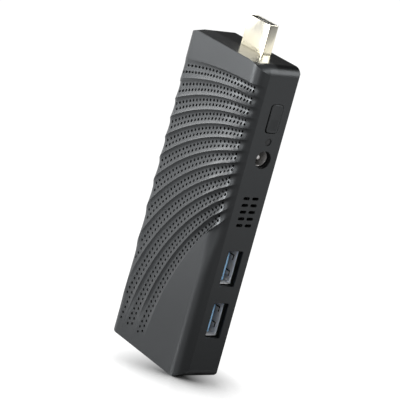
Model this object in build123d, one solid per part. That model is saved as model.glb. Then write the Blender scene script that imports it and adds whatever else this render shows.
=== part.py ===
# Stick-shaped media player that plugs straight into a television, in millimetres.
# It stands on its lower end. X is the width, with the port side at +X. Y is the
# thickness, with the perforated front at -Y. Z is the length, with the plug on top.
from build123d import *
import math
import os

# Case
case_width = 47.0
case_thickness = 19.5
case_length = 124.5
outline_radius = 4.0
front_edge_radius = 3.6
skirt_draft = 12.0
skirt_depth = 5.4
back_chamfer = 0.5
side_wall = 1.5
end_wall = 1.5
front_wall = 1.6
back_wall = 1.4
lip_height = 1.2
lip_thickness = 0.7
lip_clearance = 0.1
port_collar = 0.6

half_width = case_width / 2
front_y = -case_thickness / 2
back_y = case_thickness / 2
parting_y = front_y + skirt_depth
inner_x = half_width - side_wall
inner_top = case_length - end_wall
inner_front = front_y + front_wall
inner_back = back_y - back_wall

# Grille: bands between arcs of one family. An arc is named by its number, which may be
# a fraction: whole numbers run through the middle of a band, halves along its edges.
band_count = 12
grille_anchor = 2.8
grille_top_drop = 9.8
band_pitch = 4.24
band_pitch_growth = 0.0038
lean_start = 0.5
lean_step = 1.58
lean_growth = 0.243
arc_radius_far = 86.4
arc_radius_extra = 62.0
arc_radius_decay = 0.368
arc_radius_growth = 0.088
groove_depth = 0.7
ramp_width = 1.3
row_offset = 0.17
hole_radius = 0.6
hole_pitch = 2.3
holes_least = 22
row_right_margin = 2.0
row_left_margin = 4.4
row_bottom_margin = 7.0

# Case screws and their posts
case_screw_inset = 5.3
case_screw_radius = 1.0
case_screw_length = 7.5
case_head_radius = 1.9
case_head_height = 1.2
head_recess = 0.5
head_clearance = 0.15
shank_clearance = 0.15
thread_clearance = 0.02
front_post_radius = 2.2
rear_post_radius = 2.9
post_meet_drop = 0.8

# Main board
board_thickness = 1.2
board_margin = 0.4
board_corner = 1.5
board_notch_clearance = 0.4
solder_gap = 0.02
board_screw_radius = 0.8
board_screw_length = 2.6
board_head_radius = 1.5
board_head_height = 0.8
standoff_radius = 2.2

# Plug at the upper end
plug_x = 1.8
plug_y = 3.7
plug_width = 13.9
plug_depth = 4.45
plug_reach = 11.55
plug_inside = 11.0
plug_wall = 0.3
plug_corner = 0.6
plug_hole_clearance = 0.2
plug_slot_height = 1.9
plug_slot_depth = 7.0
plug_core_recess = 0.5
plug_contact_count = 19
plug_contact_pitch = 0.5
plug_contact_width = 0.3
contact_thickness = 0.2

# Sockets on the port side
port_recess = 2.1
socket_y = 2.5
socket_heights = {"lower": 23.9, "upper": 45.1}
socket_hole_depth = 7.0
socket_hole_height = 14.5
socket_hole_corner = 0.5
socket_depth = 5.75
socket_height = 13.2
socket_length = 14.0
socket_wall = 0.3
tongue_thickness = 1.84
tongue_height = 11.2
tongue_gap = 0.4
tongue_recess = 0.5
core_block_length = 4.6
socket_pitch = 2.0
socket_contact_width = 0.9
fast_contact_width = 0.5

board_face = socket_y + socket_depth / 2 + solder_gap
board_back = board_face + board_thickness

# Power jack
jack_y = 3.1
jack_z = 88.7
jack_hole_radius = 3.5
jack_sleeve_radius = 3.15
jack_bore_radius = 2.85
jack_length = 11.4
jack_body_height = 9.0
jack_body_depth = 7.4
jack_wing = 1.4
jack_wing_thickness = 1.2
jack_pin_radius = 1.0
jack_pin_recess = 1.0
jack_floor = 1.5

# Power button, its switch and the light
button_y = 3.0
button_z = 104.8
button_depth = 5.6
button_height = 11.0
button_corner = 1.3
button_gap = 0.18
button_travel = 0.35
button_flange = 0.7
button_flange_thickness = 0.8
button_rest_gap = 0.05
button_post_radius = 1.3
button_board_gap = 0.3
switch_depth = 3.8
switch_width = 4.0
switch_height = 5.0
switch_stem_radius = 1.0
switch_stem_reach = 1.1
switch_stem_inside = 1.2
running_clearance = 0.05
light_y = 3.2
light_z = 95.75
light_radius = 1.4
light_clearance = 0.05
light_flange_radius = 1.8
light_flange_thickness = 0.7
light_reach = 2.2
light_source_size = 2.4
light_source_length = 1.6

# Side vents
vent_columns = (0.45, 4.6)
vent_length = 3.1
vent_height = 1.25
vent_rows = 5
vent_top_z = 73.35
vent_pitch = 2.68

# Cooling
fan_x = -6.9
fan_z = 68.0
fan_size = 28.0
fan_corner = 2.0
fan_wall = 1.1
fan_floor = 0.6
fan_lid = 0.6
fan_room = 5.1
fan_outlet = 13.6
fan_intake_radius = 8.6
fan_screw_inset = 1.6
blade_count = 11
blade_thickness = 0.6
blade_tip_radius = 12.2
blade_sweep = 25.0
blade_clearance = 0.6
hub_radius = 6.2
hub_wall = 0.6
magnet_thickness = 0.6
shaft_radius = 0.75
bearing_radius = 1.9
bearing_socket_wall = 0.6
core_radius = 4.6
core_thickness = 1.6
core_height = 1.3
pole_width = 1.0
pole_shoe = 0.5
coil_build = 0.45
driver_board_thickness = 0.4
pad_thickness = 0.3
sink_base = 1.2
sink_right_margin = 1.1
sink_margin = 0.4
sink_leg_radius = 1.7
sink_screw_length = 2.4
fin_thickness = 0.4
fin_pitch = 1.5
fin_count = 9
fin_gap = 0.4
fin_height = 4.3

# Chips: width along X, height along Z, thickness
processor_size = (15.0, 15.0, 1.2)
memory_size = (10.0, 8.0, 1.0)
storage_size = (11.5, 13.0, 1.0)
power_chip_size = (5.0, 5.0, 0.9)
hub_chip_size = (6.0, 6.0, 0.9)
flash_size = (5.0, 4.0, 1.5)
crystal_size = (3.2, 2.5, 0.8)
inductor_size = (5.0, 5.0, 2.4)
capacitor_radius = 2.0
capacitor_height = 4.5
chip_part = (1.0, 0.5, 0.5)
cell_radius = 6.2
cell_thickness = 2.4

# Wireless module, aerials and their leads
module_size = (12.0, 16.0, 0.8)
shield_size = (10.4, 10.0, 1.8)
shield_sheet = 0.2
coax_plug_radius = 1.3
coax_plug_height = 1.2
coax_radius = 0.4
aerial_thickness = 0.4
aerial_depth = 5.6
aerial_height = 27.0
wire_radius = 0.3
wire_pitch = 0.75


def box(x, y, z):
    """A block between three pairs of limits."""
    block = Box(x[1] - x[0], y[1] - y[0], z[1] - z[0], align=(Align.MIN, Align.MIN, Align.MIN))
    return block.moved(Location((x[0], y[0], z[0])))


def along_y(sketch, y0, y1, x=0.0, z=0.0):
    """A flat shape drawn in width and height, pushed from y0 to y1."""
    plane = Plane(origin=(x, y1, z), x_dir=(1, 0, 0), z_dir=(0, -1, 0))
    return extrude(plane * sketch, amount=y1 - y0)


def along_x(sketch, x0, x1, y=0.0, z=0.0):
    """A flat shape drawn in depth and height, pushed from x0 to x1."""
    plane = Plane(origin=(x0, y, z), x_dir=(0, 1, 0), z_dir=(1, 0, 0))
    return extrude(plane * sketch, amount=x1 - x0)


def along_z(sketch, z0, z1, x=0.0, y=0.0):
    """A flat shape drawn in width and depth, pushed from z0 to z1."""
    return extrude(Plane.XY.offset(z0) * Pos(x, y) * sketch, amount=z1 - z0)


def rod_y(radius, y0, y1, x, z):
    return along_y(Circle(radius), y0, y1, x, z)


def rod_x(radius, x0, x1, y, z):
    return along_x(Circle(radius), x0, x1, y, z)


def tube_y(outer, inner, y0, y1, x, z):
    return along_y(Circle(outer) - Circle(inner), y0, y1, x, z)


def on_board(size, x, z):
    """A chip's block standing on the board's component side."""
    return box((x - size[0] / 2, x + size[0] / 2), (board_face - size[2], board_face),
               (z - size[1] / 2, z + size[1] / 2))


def group(solids):
    """Separate solids kept side by side in one node."""
    return Compound(children=[Solid(s.solids()[0].wrapped) for s in solids])


def corners():
    """The four places of the case screws."""
    x = half_width - case_screw_inset
    return [(sx * x, z) for sx in (-1, 1) for z in (case_screw_inset, case_length - case_screw_inset)]


def board_screw_places():
    """Board screws: two on the left, two on the port side."""
    left = -half_width + 5.0
    upper = case_length - 11.5
    return [(left, 46.0), (left, upper), (12.6, upper), (12.0, 53.8)]


# Case shells

def skirt_face(side_margin, front_margin):
    """Section of the front cover, or of its hollow when given wall thicknesses."""
    tangent = math.tan(math.radians(skirt_draft))
    y_low = front_y + front_margin
    wide = half_width - side_margin
    narrow = wide - (parting_y - y_low) * tangent
    points = [(-wide, parting_y), (-narrow, y_low), (narrow, y_low), (wide, parting_y)]
    face = make_face(Polyline(*points, close=True))
    rounded = [v for v in face.vertices() if abs(v.Y - y_low) < 0.001]
    return fillet(rounded, front_edge_radius - side_margin)


def outline(margin_x, margin_z, y0, y1):
    """The case's outline seen from the front, or its hollow when given margins."""
    shape = RectangleRounded(case_width - 2 * margin_x, case_length - 2 * margin_z,
                             outline_radius - max(margin_x, margin_z) * 0.5)
    return along_y(shape, y0, y1, 0, case_length / 2)


def arc_of(number):
    """Centre and radius of the grille arc with this number."""
    height = case_length - grille_top_drop - band_pitch * number - band_pitch_growth * number ** 3
    lean = math.radians(lean_start + lean_step * number + lean_growth * number ** 2)
    radius = arc_radius_far + arc_radius_extra * arc_radius_decay ** number
    radius += arc_radius_growth * number ** 2
    x = half_width - grille_anchor
    return x + radius * math.sin(lean), height - radius * math.cos(lean), radius


def band_groove(number):
    """What is cut away to leave one band: a flat floor and a ramp up to its lower edge."""
    x, z, radius = arc_of(number + 0.5)
    floor_y = front_y + groove_depth
    outside = front_y - 1.0
    reach = radius + 3 * band_pitch + case_width
    profile = Polyline((x, front_y, z + radius), (x, floor_y, z + radius + ramp_width),
                       (x, floor_y, z + reach), (x, outside, z + reach),
                       (x, outside, z + radius), close=True)
    ring = revolve(make_face(profile), Axis((x, 0, z), (0, 1, 0)), 360)
    upper_x, upper_z, upper_radius = arc_of(number - 0.5)
    return ring & rod_y(upper_radius, outside - 0.5, floor_y + 0.5, upper_x, upper_z)


def row_holes(number):
    """Hole centres along one row, evenly spaced from the right end of the row."""
    x, z, radius = arc_of(number)
    start = math.acos((half_width - row_right_margin - x) / radius)
    left = max(-1.0, (row_left_margin - half_width - x) / radius)
    bottom = math.pi - math.asin(max(-1.0, min(1.0, (row_bottom_margin - z) / radius)))
    end = min(math.acos(left), bottom)
    length = radius * (end - start)
    count = max(holes_least, round(length / hole_pitch) + 1)
    turn = (end - start) / (count - 1)
    return [(x + radius * math.cos(start + k * turn), z + radius * math.sin(start + k * turn))
            for k in range(count)]


def grille_holes():
    places = []
    for band in range(band_count):
        for side in (-row_offset, row_offset):
            places += row_holes(band + side)
    return [rod_y(hole_radius, front_y - 1.0, inner_front + 2.4, x, z) for x, z in places]


def front_cover():
    """Perforated front with its rounded skirt, locating lip and four screw posts."""
    outer = along_z(skirt_face(0, 0), 0, case_length) & outline(0, 0, front_y, parting_y)
    hollow = along_z(skirt_face(side_wall, front_wall), 0, case_length)
    hollow = hollow & outline(side_wall, end_wall, inner_front, parting_y)
    cover = outer - hollow
    for band in range(band_count):
        cover = cover - band_groove(band)
    cover = cover.cut(*grille_holes())
    edge = side_wall + lip_clearance
    lip_end = parting_y + lip_height
    lip_root = parting_y - lip_height
    lip = outline(edge, edge, lip_root, lip_end)
    lip = lip - outline(edge + lip_thickness, edge + lip_thickness, lip_root, lip_end)
    cover = cover + lip
    for x, z in corners():
        post = rod_y(front_post_radius, inner_front, post_meet_y(), x, z)
        pilot = rod_y(case_screw_radius + thread_clearance, screw_tip_y() - 0.5, post_meet_y(), x, z)
        cover = cover + post - pilot
    return cover


def post_meet_y():
    """Where a front post meets the rear post around the same screw."""
    return board_face - post_meet_drop


def head_seat_y():
    return back_y - head_recess - case_head_height


def screw_tip_y():
    return head_seat_y() - case_screw_length


def port_x():
    """Depth at which the sockets and the jack stand behind the side."""
    return half_width - port_recess


def rear_housing():
    """Back and side walls in one tub, with every side opening, posts and standoffs."""
    section = Rectangle(case_width, back_y - parting_y)
    section = Pos(0, (back_y + parting_y) / 2) * section
    edges = [v for v in section.vertices() if v.Y > parting_y + 1]
    outer = along_z(chamfer(edges, back_chamfer), 0, case_length) & outline(0, 0, parting_y, back_y)
    tub = outer - outline(side_wall, end_wall, parting_y, inner_back)
    tub = tub + port_collars()
    for x, z in corners():
        tub = tub + rod_y(rear_post_radius, post_meet_y(), inner_back, x, z)
    for x, z in board_screw_places():
        tub = tub + rod_y(standoff_radius, board_back, inner_back, x, z)
    tub = tub + button_guides()
    for cutter in side_openings() + screw_openings():
        tub = tub - cutter
    plug_hole = Rectangle(plug_width + 2 * plug_hole_clearance, plug_depth + 2 * plug_hole_clearance)
    return tub - along_z(plug_hole, inner_top - 1, case_length + 1, plug_x, plug_y)


def port_collars():
    """Thicker wall around each socket and the jack, up to the faces that stand behind it."""
    x0, x1 = port_x(), inner_x + 0.1
    rim = 1.0
    shapes = None
    for height in socket_heights.values():
        sketch = Rectangle(socket_hole_depth + 2 * rim, socket_hole_height + 2 * rim)
        collar = along_x(sketch, x0 + solder_gap, x1, socket_y, height)
        shapes = collar if shapes is None else shapes + collar
    jack = rod_x(jack_hole_radius + rim, x0 + solder_gap, x1, jack_y, jack_z)
    shapes = shapes + jack
    return shapes - box((x0 - 1, x1 + 1), (board_face - 0.3, back_y), (0, case_length))


def button_guides():
    """Two ribs that keep the button's flange in line."""
    reach = button_height / 2 + button_flange + 0.15
    inner = inner_x - button_flange_thickness - button_travel - 0.6
    ribs = None
    for side in (-1, 1):
        z = sorted((button_z + side * reach, button_z + side * (reach + 0.8)))
        rib = box((inner, inner_x + 0.1), (button_y - button_depth / 2, board_face - 0.3), z)
        ribs = rib if ribs is None else ribs + rib
    return ribs


def side_openings():
    """Sockets, jack, button, light and vents, cut through the port side."""
    x0, x1 = port_x() - 0.5, half_width + 1
    cutters = []
    for height in socket_heights.values():
        hole = RectangleRounded(socket_hole_depth, socket_hole_height, socket_hole_corner)
        cutters.append(along_x(hole, x0, x1, socket_y, height))
    cutters.append(rod_x(jack_hole_radius, x0, x1, jack_y, jack_z))
    button = RectangleRounded(button_depth + 2 * button_gap, button_height + 2 * button_gap,
                              button_corner + button_gap)
    cutters.append(along_x(button, inner_x - 0.5, x1, button_y, button_z))
    cutters.append(rod_x(light_radius + light_clearance, inner_x - 0.5, x1, light_y, light_z))
    for row in range(vent_rows):
        for column in vent_columns:
            slot = SlotOverall(vent_length, vent_height)
            cutters.append(along_x(slot, inner_x - 0.5, x1, column, vent_top_z - row * vent_pitch))
    return cutters


def screw_openings():
    """Counterbores, clearance holes and pilot holes in the rear housing."""
    cutters = []
    for x, z in corners():
        cutters.append(rod_y(case_head_radius + head_clearance, head_seat_y(), back_y + 1, x, z))
        cutters.append(rod_y(case_screw_radius + shank_clearance, post_meet_y() - 1, back_y, x, z))
    for x, z in board_screw_places():
        tip = board_face + board_screw_length + 0.1
        cutters.append(rod_y(board_screw_radius + thread_clearance, board_back - 1, tip, x, z))
    return cutters


def screw(head_radius, head_height, shank_radius, length, x, seat_y, z, head_side):
    """A round-headed screw along Y with a crossed recess. head_side is +1 towards the back."""
    def span(a, b):
        return sorted((seat_y + head_side * a, seat_y + head_side * b))
    head = rod_y(head_radius, *span(0, head_height), x, z)
    shank = rod_y(shank_radius, *span(-length, 0), x, z)
    arm, width = head_radius * 1.2, head_radius * 0.28
    depth = span(head_height * 0.4, head_height + 0.1)
    cross = box((x - arm / 2, x + arm / 2), depth, (z - width / 2, z + width / 2))
    cross = cross + box((x - width / 2, x + width / 2), depth, (z - arm / 2, z + arm / 2))
    return head + shank - cross


def case_screws():
    return group([screw(case_head_radius, case_head_height, case_screw_radius, case_screw_length,
                        x, head_seat_y(), z, 1) for x, z in corners()])


# Button, switch and light

def power_button():
    """Flush cap with a flange behind the wall and a post that meets the switch."""
    face = RectangleRounded(button_depth, button_height, button_corner)
    cap = along_x(face, inner_x - button_rest_gap - 0.1, half_width, button_y, button_z)
    outer = inner_x - button_rest_gap
    inner = outer - button_flange_thickness
    flange = RectangleRounded(button_depth + 2 * button_flange, button_height + 2 * button_flange,
                              button_corner)
    cap = cap + along_x(flange, inner, outer, button_y, button_z)
    return cap + rod_x(button_post_radius, stem_tip_x() + button_rest_gap, inner, switch_y(), button_z)


def switch_y():
    return board_face - switch_depth / 2


def switch_face_x():
    return inner_x - button_rest_gap - button_flange_thickness - button_rest_gap - switch_stem_reach - 0.3


def stem_tip_x():
    return switch_face_x() + switch_stem_reach


def switch_body():
    """Side-facing push switch standing on the board."""
    x1 = switch_face_x()
    body = box((x1 - switch_width, x1), (board_face - switch_depth, board_face),
               (button_z - switch_height / 2, button_z + switch_height / 2))
    depth = switch_stem_inside + button_travel + running_clearance
    return body - rod_x(switch_stem_radius + running_clearance, x1 - depth, x1 + 1, switch_y(), button_z)


def switch_plunger():
    return rod_x(switch_stem_radius, switch_face_x() - switch_stem_inside, stem_tip_x(),
                 switch_y(), button_z)


def light_pipe():
    """Clear plug in the wall that carries the light out from the board."""
    window = rod_x(light_radius, inner_x - 0.1, half_width, light_y, light_z)
    flange_x = inner_x - solder_gap
    flange = rod_x(light_flange_radius, flange_x - light_flange_thickness, flange_x, light_y, light_z)
    stem = rod_x(light_radius * 0.7, inner_x - light_reach, flange_x, light_y, light_z)
    return window + flange + stem


def power_light():
    """Side-facing light source on the board, just behind the light pipe."""
    x1 = inner_x - light_reach - solder_gap
    half = light_source_size / 2
    return box((x1 - light_source_length, x1), (light_y - half, board_face),
               (light_z - half, light_z + half))


# Main board

def main_board():
    """Board with notches for the posts, the plug and the vents, and all its holes."""
    x = inner_x - board_margin
    z0, z1 = end_wall + board_margin, inner_top - board_margin
    sketch = RectangleRounded(2 * x, z1 - z0, board_corner)
    board = along_y(sketch, board_face, board_back, 0, (z0 + z1) / 2)
    y0, y1 = board_face - 1, board_back + 1
    for px, pz in corners():
        room = rear_post_radius + board_notch_clearance
        ends = sorted((px - math.copysign(room, px), math.copysign(half_width, px)))
        rise = (-1, pz + room) if pz < case_length / 2 else (pz - room, case_length + 1)
        board = board - box(ends, (y0, y1), rise)
    flange_x = inner_x - button_rest_gap - button_flange_thickness - button_travel
    reach = button_height / 2 + button_flange + button_board_gap
    board = board - box((flange_x - button_board_gap, half_width), (y0, y1),
                        (button_z - reach, button_z + reach))
    jack_half = jack_body_height / 2 + board_notch_clearance / 2
    jack_x = port_x() - solder_gap - jack_length - board_notch_clearance / 2
    board = board - box((jack_x, half_width), (y0, y1), (jack_z - jack_half, jack_z + jack_half))
    notch = plug_width / 2 + board_notch_clearance
    plug_floor = inner_top - plug_inside - board_notch_clearance + end_wall
    board = board - box((plug_x - notch, plug_x + notch), (y0, y1), (plug_floor, case_length))
    vent_low = vent_top_z - (vent_rows - 1) * vent_pitch - vent_height
    board = board - box((x - 3.0, x + 1), (y0, y1), (vent_low, vent_top_z + vent_height))
    for px, pz in board_screw_places():
        board = board - rod_y(board_screw_radius + shank_clearance, y0, y1, px, pz)
    for px, pz in sink_legs():
        board = board - rod_y(board_screw_radius + shank_clearance, y0, y1, px, pz)
    for height in socket_heights.values():
        for offset in tail_offsets():
            tail = box((tail_x() - 0.3, tail_x() + 0.3), (y0, y1),
                       (height + offset - 0.35, height + offset + 0.35))
            board = board - tail
    return board


def board_screws():
    return group([screw(board_head_radius, board_head_height, board_screw_radius, board_screw_length,
                        x, board_face - solder_gap, z, -1) for x, z in board_screw_places()])


def chips(size, places):
    return group([on_board(size, x, z) for x, z in places])


def small_components():
    """Rows of small resistors and capacitors round the processor and by the power parts."""
    places = []
    reach = processor_size[0] / 2 + 1.4
    for k in range(8):
        offset = (k - 3.5) * 1.8
        places += [(processor_x() - reach, fan_z + offset), (processor_x() + reach, fan_z + offset)]
    for k in range(7):
        places += [(-3.0 + k * 1.9, 103.6), (-3.0 + k * 1.9, 84.6)]
    for k in range(5):
        places.append((2.4, 5.0 + k * 2.0))
    return chips(chip_part, places)


def tank_capacitors():
    """Upright round capacitors by the jack and by the sockets."""
    places = [(11.6, 98.4), (11.6, 103.2), (9.5, 12.4), (14.4, 12.4)]
    return group([rod_y(capacitor_radius, board_face - capacitor_height, board_face, x, z)
                  for x, z in places])


def clock_cell():
    """Wrapped coin cell that keeps the clock."""
    body = rod_y(cell_radius, board_face - cell_thickness, board_face, -12.6, 14.8)
    return chamfer(body.edges().filter_by(GeomType.CIRCLE), 0.3)


# Plug

def plug_tip_z():
    return case_length + plug_reach


def plug_root_z():
    return case_length - plug_inside


def plug_shell():
    """Folded sheet tube with two ears that are soldered to the board."""
    outer = RectangleRounded(plug_width, plug_depth, plug_corner)
    inner = RectangleRounded(plug_width - 2 * plug_wall, plug_depth - 2 * plug_wall,
                             plug_corner - plug_wall)
    shell = along_z(outer - inner, plug_root_z(), plug_tip_z(), plug_x, plug_y)
    for side in (-1, 1):
        x = sorted((plug_x + side * (plug_width / 2 - plug_wall / 2), plug_x + side * (plug_width / 2 + 2.4)))
        ear = box(x, (board_face - solder_gap - plug_wall, board_face - solder_gap),
                  (plug_root_z() + 1.5, plug_root_z() + 6.0))
        shell = shell + ear
    return shell


def plug_rows():
    """Contact places: two rows, staggered by one pitch. Each is x and the side of the slot."""
    half = (plug_contact_count - 1) / 2
    return [(plug_x + (k - half) * plug_contact_pitch, -1 if k % 2 == 0 else 1)
            for k in range(plug_contact_count)]


def plug_contact(x, side):
    """Flat contact along the slot's wall, with a foot on the board."""
    y_wall = plug_y + side * plug_slot_height / 2
    y = sorted((y_wall, y_wall + side * contact_thickness))
    half = plug_contact_width / 2
    width = (x - half, x + half)
    foot_y = board_face - solder_gap
    root = plug_root_z() - (1.0 if side > 0 else 1.8)
    strip = box(width, y, (root, plug_tip_z() - plug_core_recess - 0.6))
    riser = box(width, (y[0], foot_y), (root, root + contact_thickness))
    foot = box(width, (foot_y - contact_thickness, foot_y), (root - 0.8, root + contact_thickness))
    return strip + riser + foot


def plug_contacts():
    return group([plug_contact(x, side) for x, side in plug_rows()])


def plug_core():
    """Black insulator that fills the shell, with the slot that receives the socket's blade."""
    top = plug_tip_z() - plug_core_recess
    block = RectangleRounded(plug_width - 2 * plug_wall, plug_depth - 2 * plug_wall,
                             plug_corner - plug_wall)
    core = along_z(block, plug_root_z(), top, plug_x, plug_y)
    slot = Rectangle(plug_width - 2 * plug_wall - 2.0, plug_slot_height)
    core = core - along_z(slot, top - plug_slot_depth, top + 1, plug_x, plug_y)
    for x, side in plug_rows():
        core = core - plug_contact(x, side)
    return core


# Sockets

def socket_shell(height):
    """Folded sheet socket with a flared mouth and sprung windows in its broad walls."""
    x1 = port_x()
    x0 = x1 - socket_length
    outer = RectangleRounded(socket_depth, socket_height, 0.5)
    inner = RectangleRounded(socket_depth - 2 * socket_wall, socket_height - 2 * socket_wall, 0.25)
    shell = along_x(outer - inner, x0 + socket_wall, x1, socket_y, height)
    shell = shell + along_x(outer, x0, x0 + socket_wall, socket_y, height)
    shell = shell - box((x0 - 1, tail_x() + 0.8), (socket_y, board_face), (height - 5.4, height + 5.4))
    for side in (-1, 1):
        wall_y = socket_y + side * (socket_depth / 2 - socket_wall / 2)
        for offset in (-3.2, 3.2):
            shell = shell - box((x1 - 4.6, x1 - 1.4), (wall_y - 0.5, wall_y + 0.5),
                                (height + offset - 1.15, height + offset + 1.15))
            shell = shell + socket_finger(x1, wall_y, side, height + offset)
    return shell


def socket_finger(mouth_x, wall_y, side, height):
    """Spring finger in a window, bent towards the socket's middle."""
    finger = Box(3.2, 0.22, 1.5)
    return finger.moved(Location((mouth_x - 3.1, wall_y - side * 0.12, height), (0, 0, side * 5)))


def tail_x():
    """Where the sockets' contact tails go through the board."""
    return port_x() - socket_length + 1.4


def tail_offsets():
    return [(k - 1.5) * socket_pitch for k in range(4)]


def tongue_span():
    low = socket_y - socket_depth / 2 + socket_wall + tongue_gap
    return low, low + tongue_thickness


def socket_contact(height, offset):
    """Long contact on the tongue, turned down through the board."""
    face = tongue_span()[1]
    half = socket_contact_width / 2
    strip = box((tail_x() - 0.15, port_x() - tongue_recess - 0.9), (face - 0.15, face),
                (height + offset - half, height + offset + half))
    tail = box((tail_x() - 0.15, tail_x() + 0.15), (face - 0.15, board_back + 0.6),
               (height + offset - 0.2, height + offset + 0.2))
    return strip + tail


def fast_contact(height, offset):
    """Short contact pad of the fast lanes, near the tongue's tip."""
    face = tongue_span()[1]
    x1 = port_x() - tongue_recess - 1.2
    half = fast_contact_width / 2
    return box((x1 - 1.2, x1), (face - 0.15, face), (height + offset - half, height + offset + half))


def socket_contacts(height):
    slow = [socket_contact(height, offset) for offset in tail_offsets()]
    fast = [fast_contact(height, (k - 2) * socket_pitch) for k in range(5)]
    return group(slow + fast)


def socket_core(height):
    """Blue insulator: a block at the back and the tongue that carries the contacts."""
    x0 = port_x() - socket_length + socket_wall
    x1 = port_x() - tongue_recess
    low, high = tongue_span()
    inside = RectangleRounded(socket_depth - 2 * socket_wall, socket_height - 2 * socket_wall, 0.25)
    block = along_x(inside, x0, x0 + core_block_length, socket_y, height)
    tongue = box((x0, x1), (low, high), (height - tongue_height / 2, height + tongue_height / 2))
    core = block + tongue
    for offset in tail_offsets():
        core = core - socket_contact(height, offset)
    for k in range(5):
        core = core - fast_contact(height, (k - 2) * socket_pitch)
    return core


# Power jack

def jack_housing():
    """Moulded jack body sunk in a notch of the board, on two wings, bored for its sleeve."""
    x1 = port_x() - solder_gap
    x0 = x1 - jack_length
    rise, half = jack_body_depth / 2, jack_body_height / 2
    body = box((x0, x1), (jack_y - rise, jack_y + rise), (jack_z - half, jack_z + half))
    foot_y = board_face - solder_gap
    body = body + box((x0 + 1, x0 + 7), (foot_y - jack_wing_thickness, foot_y),
                      (jack_z - half - jack_wing, jack_z + half + jack_wing))
    body = body - rod_x(jack_sleeve_radius, x0 + jack_floor, x1 + 1, jack_y, jack_z)
    return body - rod_x(jack_pin_radius, x0 - 1, x1, jack_y, jack_z)


def jack_sleeve():
    """Plated outer contact that lines the jack."""
    x0 = port_x() - solder_gap - jack_length + jack_floor
    ring = Circle(jack_sleeve_radius) - Circle(jack_bore_radius)
    return along_x(ring, x0, port_x(), jack_y, jack_z)


def jack_pin():
    """Centre pin with a round tip."""
    x0 = port_x() - solder_gap - jack_length
    tip = port_x() - jack_pin_recess
    pin = rod_x(jack_pin_radius, x0, tip, jack_y, jack_z)
    return fillet(pin.edges().sort_by(Axis.X)[-1], jack_pin_radius * 0.9)


# Cooling

def processor_x():
    return fan_x + 5.0


def sink_face_y():
    """Front face of the heat sink's base, where the fan sits."""
    return board_face - processor_size[2] - pad_thickness - sink_base


def sink_legs():
    """Legs of the heat sink, each with a screw from behind the board."""
    right = inner_x - sink_right_margin - 4.6
    left = fan_x - fan_size / 2 + 5.6
    half = fan_size / 2 - 2.2
    return [(left, fan_z - half), (left, fan_z + half), (right, fan_z - half), (right, fan_z + half)]


def fan_corner_places():
    reach = fan_size / 2 - fan_screw_inset
    return [(fan_x + sx * reach, fan_z + sz * reach) for sx in (-1, 1) for sz in (-1, 1)]


def heat_sink():
    """Aluminium plate over the processor with fins that end at the side vents."""
    y0 = sink_face_y()
    y1 = y0 + sink_base
    half = fan_size / 2
    x0, x1 = fan_x - half, inner_x - sink_right_margin
    sink = box((x0, x1), (y0, y1), (fan_z - half, fan_z + half))
    fin_x0 = fan_x + half + fin_gap
    for k in range(fin_count):
        z = fan_z + (k - (fin_count - 1) / 2) * fin_pitch
        sink = sink + box((fin_x0, x1), (y0 - fin_height, y0), (z - fin_thickness / 2, z + fin_thickness / 2))
    for x, z in sink_legs():
        sink = sink + rod_y(sink_leg_radius, y1, board_face - solder_gap, x, z)
        sink = sink - rod_y(board_screw_radius + thread_clearance, board_back - sink_screw_length - 0.3, board_back, x, z)
    for x, z in fan_corner_places():
        sink = sink - rod_y(board_screw_radius + thread_clearance, y0 - 1, y1 + 1, x, z)
    return sink


def sink_screws():
    return group([screw(board_head_radius, board_head_height, board_screw_radius, sink_screw_length,
                        x, board_back + solder_gap, z, 1) for x, z in sink_legs()])


def thermal_pad():
    y1 = board_face - processor_size[2]
    half_x, half_z = processor_size[0] / 2, processor_size[1] / 2
    return box((processor_x() - half_x, processor_x() + half_x), (y1 - pad_thickness, y1),
               (fan_z - half_z, fan_z + half_z))


def fan_floor_y():
    """Inner face of the fan's floor."""
    return sink_face_y() - fan_floor


def fan_lid_y():
    """Inner face of the fan's lid."""
    return fan_floor_y() - fan_room


def fan_outline():
    return RectangleRounded(fan_size, fan_size, fan_corner)


def fan_housing():
    """Square fan frame with a round chamber, an outlet to the fins and the bearing socket."""
    y_floor, y_lid = fan_floor_y(), fan_lid_y()
    body = along_y(fan_outline(), y_lid, sink_face_y(), fan_x, fan_z)
    body = body - rod_y(fan_size / 2 - fan_wall, y_lid - 1, y_floor, fan_x, fan_z)
    body = body - box((fan_x, fan_x + fan_size), (y_lid - 1, y_floor),
                      (fan_z - fan_outlet / 2, fan_z + fan_outlet / 2))
    body = body + tube_y(bearing_radius + bearing_socket_wall, bearing_radius, core_y()[0] - 0.1,
                         y_floor, fan_x, fan_z)
    for x, z in fan_corner_places():
        body = body - rod_y(board_screw_radius + shank_clearance, y_lid - 1, sink_face_y() + 1, x, z)
    return body - wire_channel()


def wire_channel():
    """Slot in the fan's lower wall through which its wires leave."""
    half = 1.5 * wire_pitch + 0.2
    y1 = fan_floor_y()
    return box((fan_x - half, fan_x + half), (y1 - 3 * wire_radius, y1),
               (fan_z - fan_size / 2 - 1, fan_z - core_radius))


def fan_lid_plate():
    """Thin lid with the round intake."""
    y1 = fan_lid_y()
    lid = along_y(fan_outline(), y1 - fan_lid, y1, fan_x, fan_z)
    lid = lid - rod_y(fan_intake_radius, y1 - fan_lid - 1, y1 + 1, fan_x, fan_z)
    for x, z in fan_corner_places():
        lid = lid - rod_y(board_screw_radius + shank_clearance, y1 - fan_lid - 1, y1 + 1, x, z)
    return lid


def fan_screws():
    seat = fan_lid_y() - fan_lid - solder_gap
    length = fan_lid + fan_room + fan_floor + sink_base * 0.8
    return group([screw(board_head_radius, board_head_height, board_screw_radius, length,
                        x, seat, z, -1) for x, z in fan_corner_places()])


def hub_top_y():
    """Outer face of the rotor's disc."""
    return fan_lid_y() + blade_clearance


def blade_span():
    return hub_top_y() + 0.2, fan_floor_y() - blade_clearance - 0.2


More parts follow.
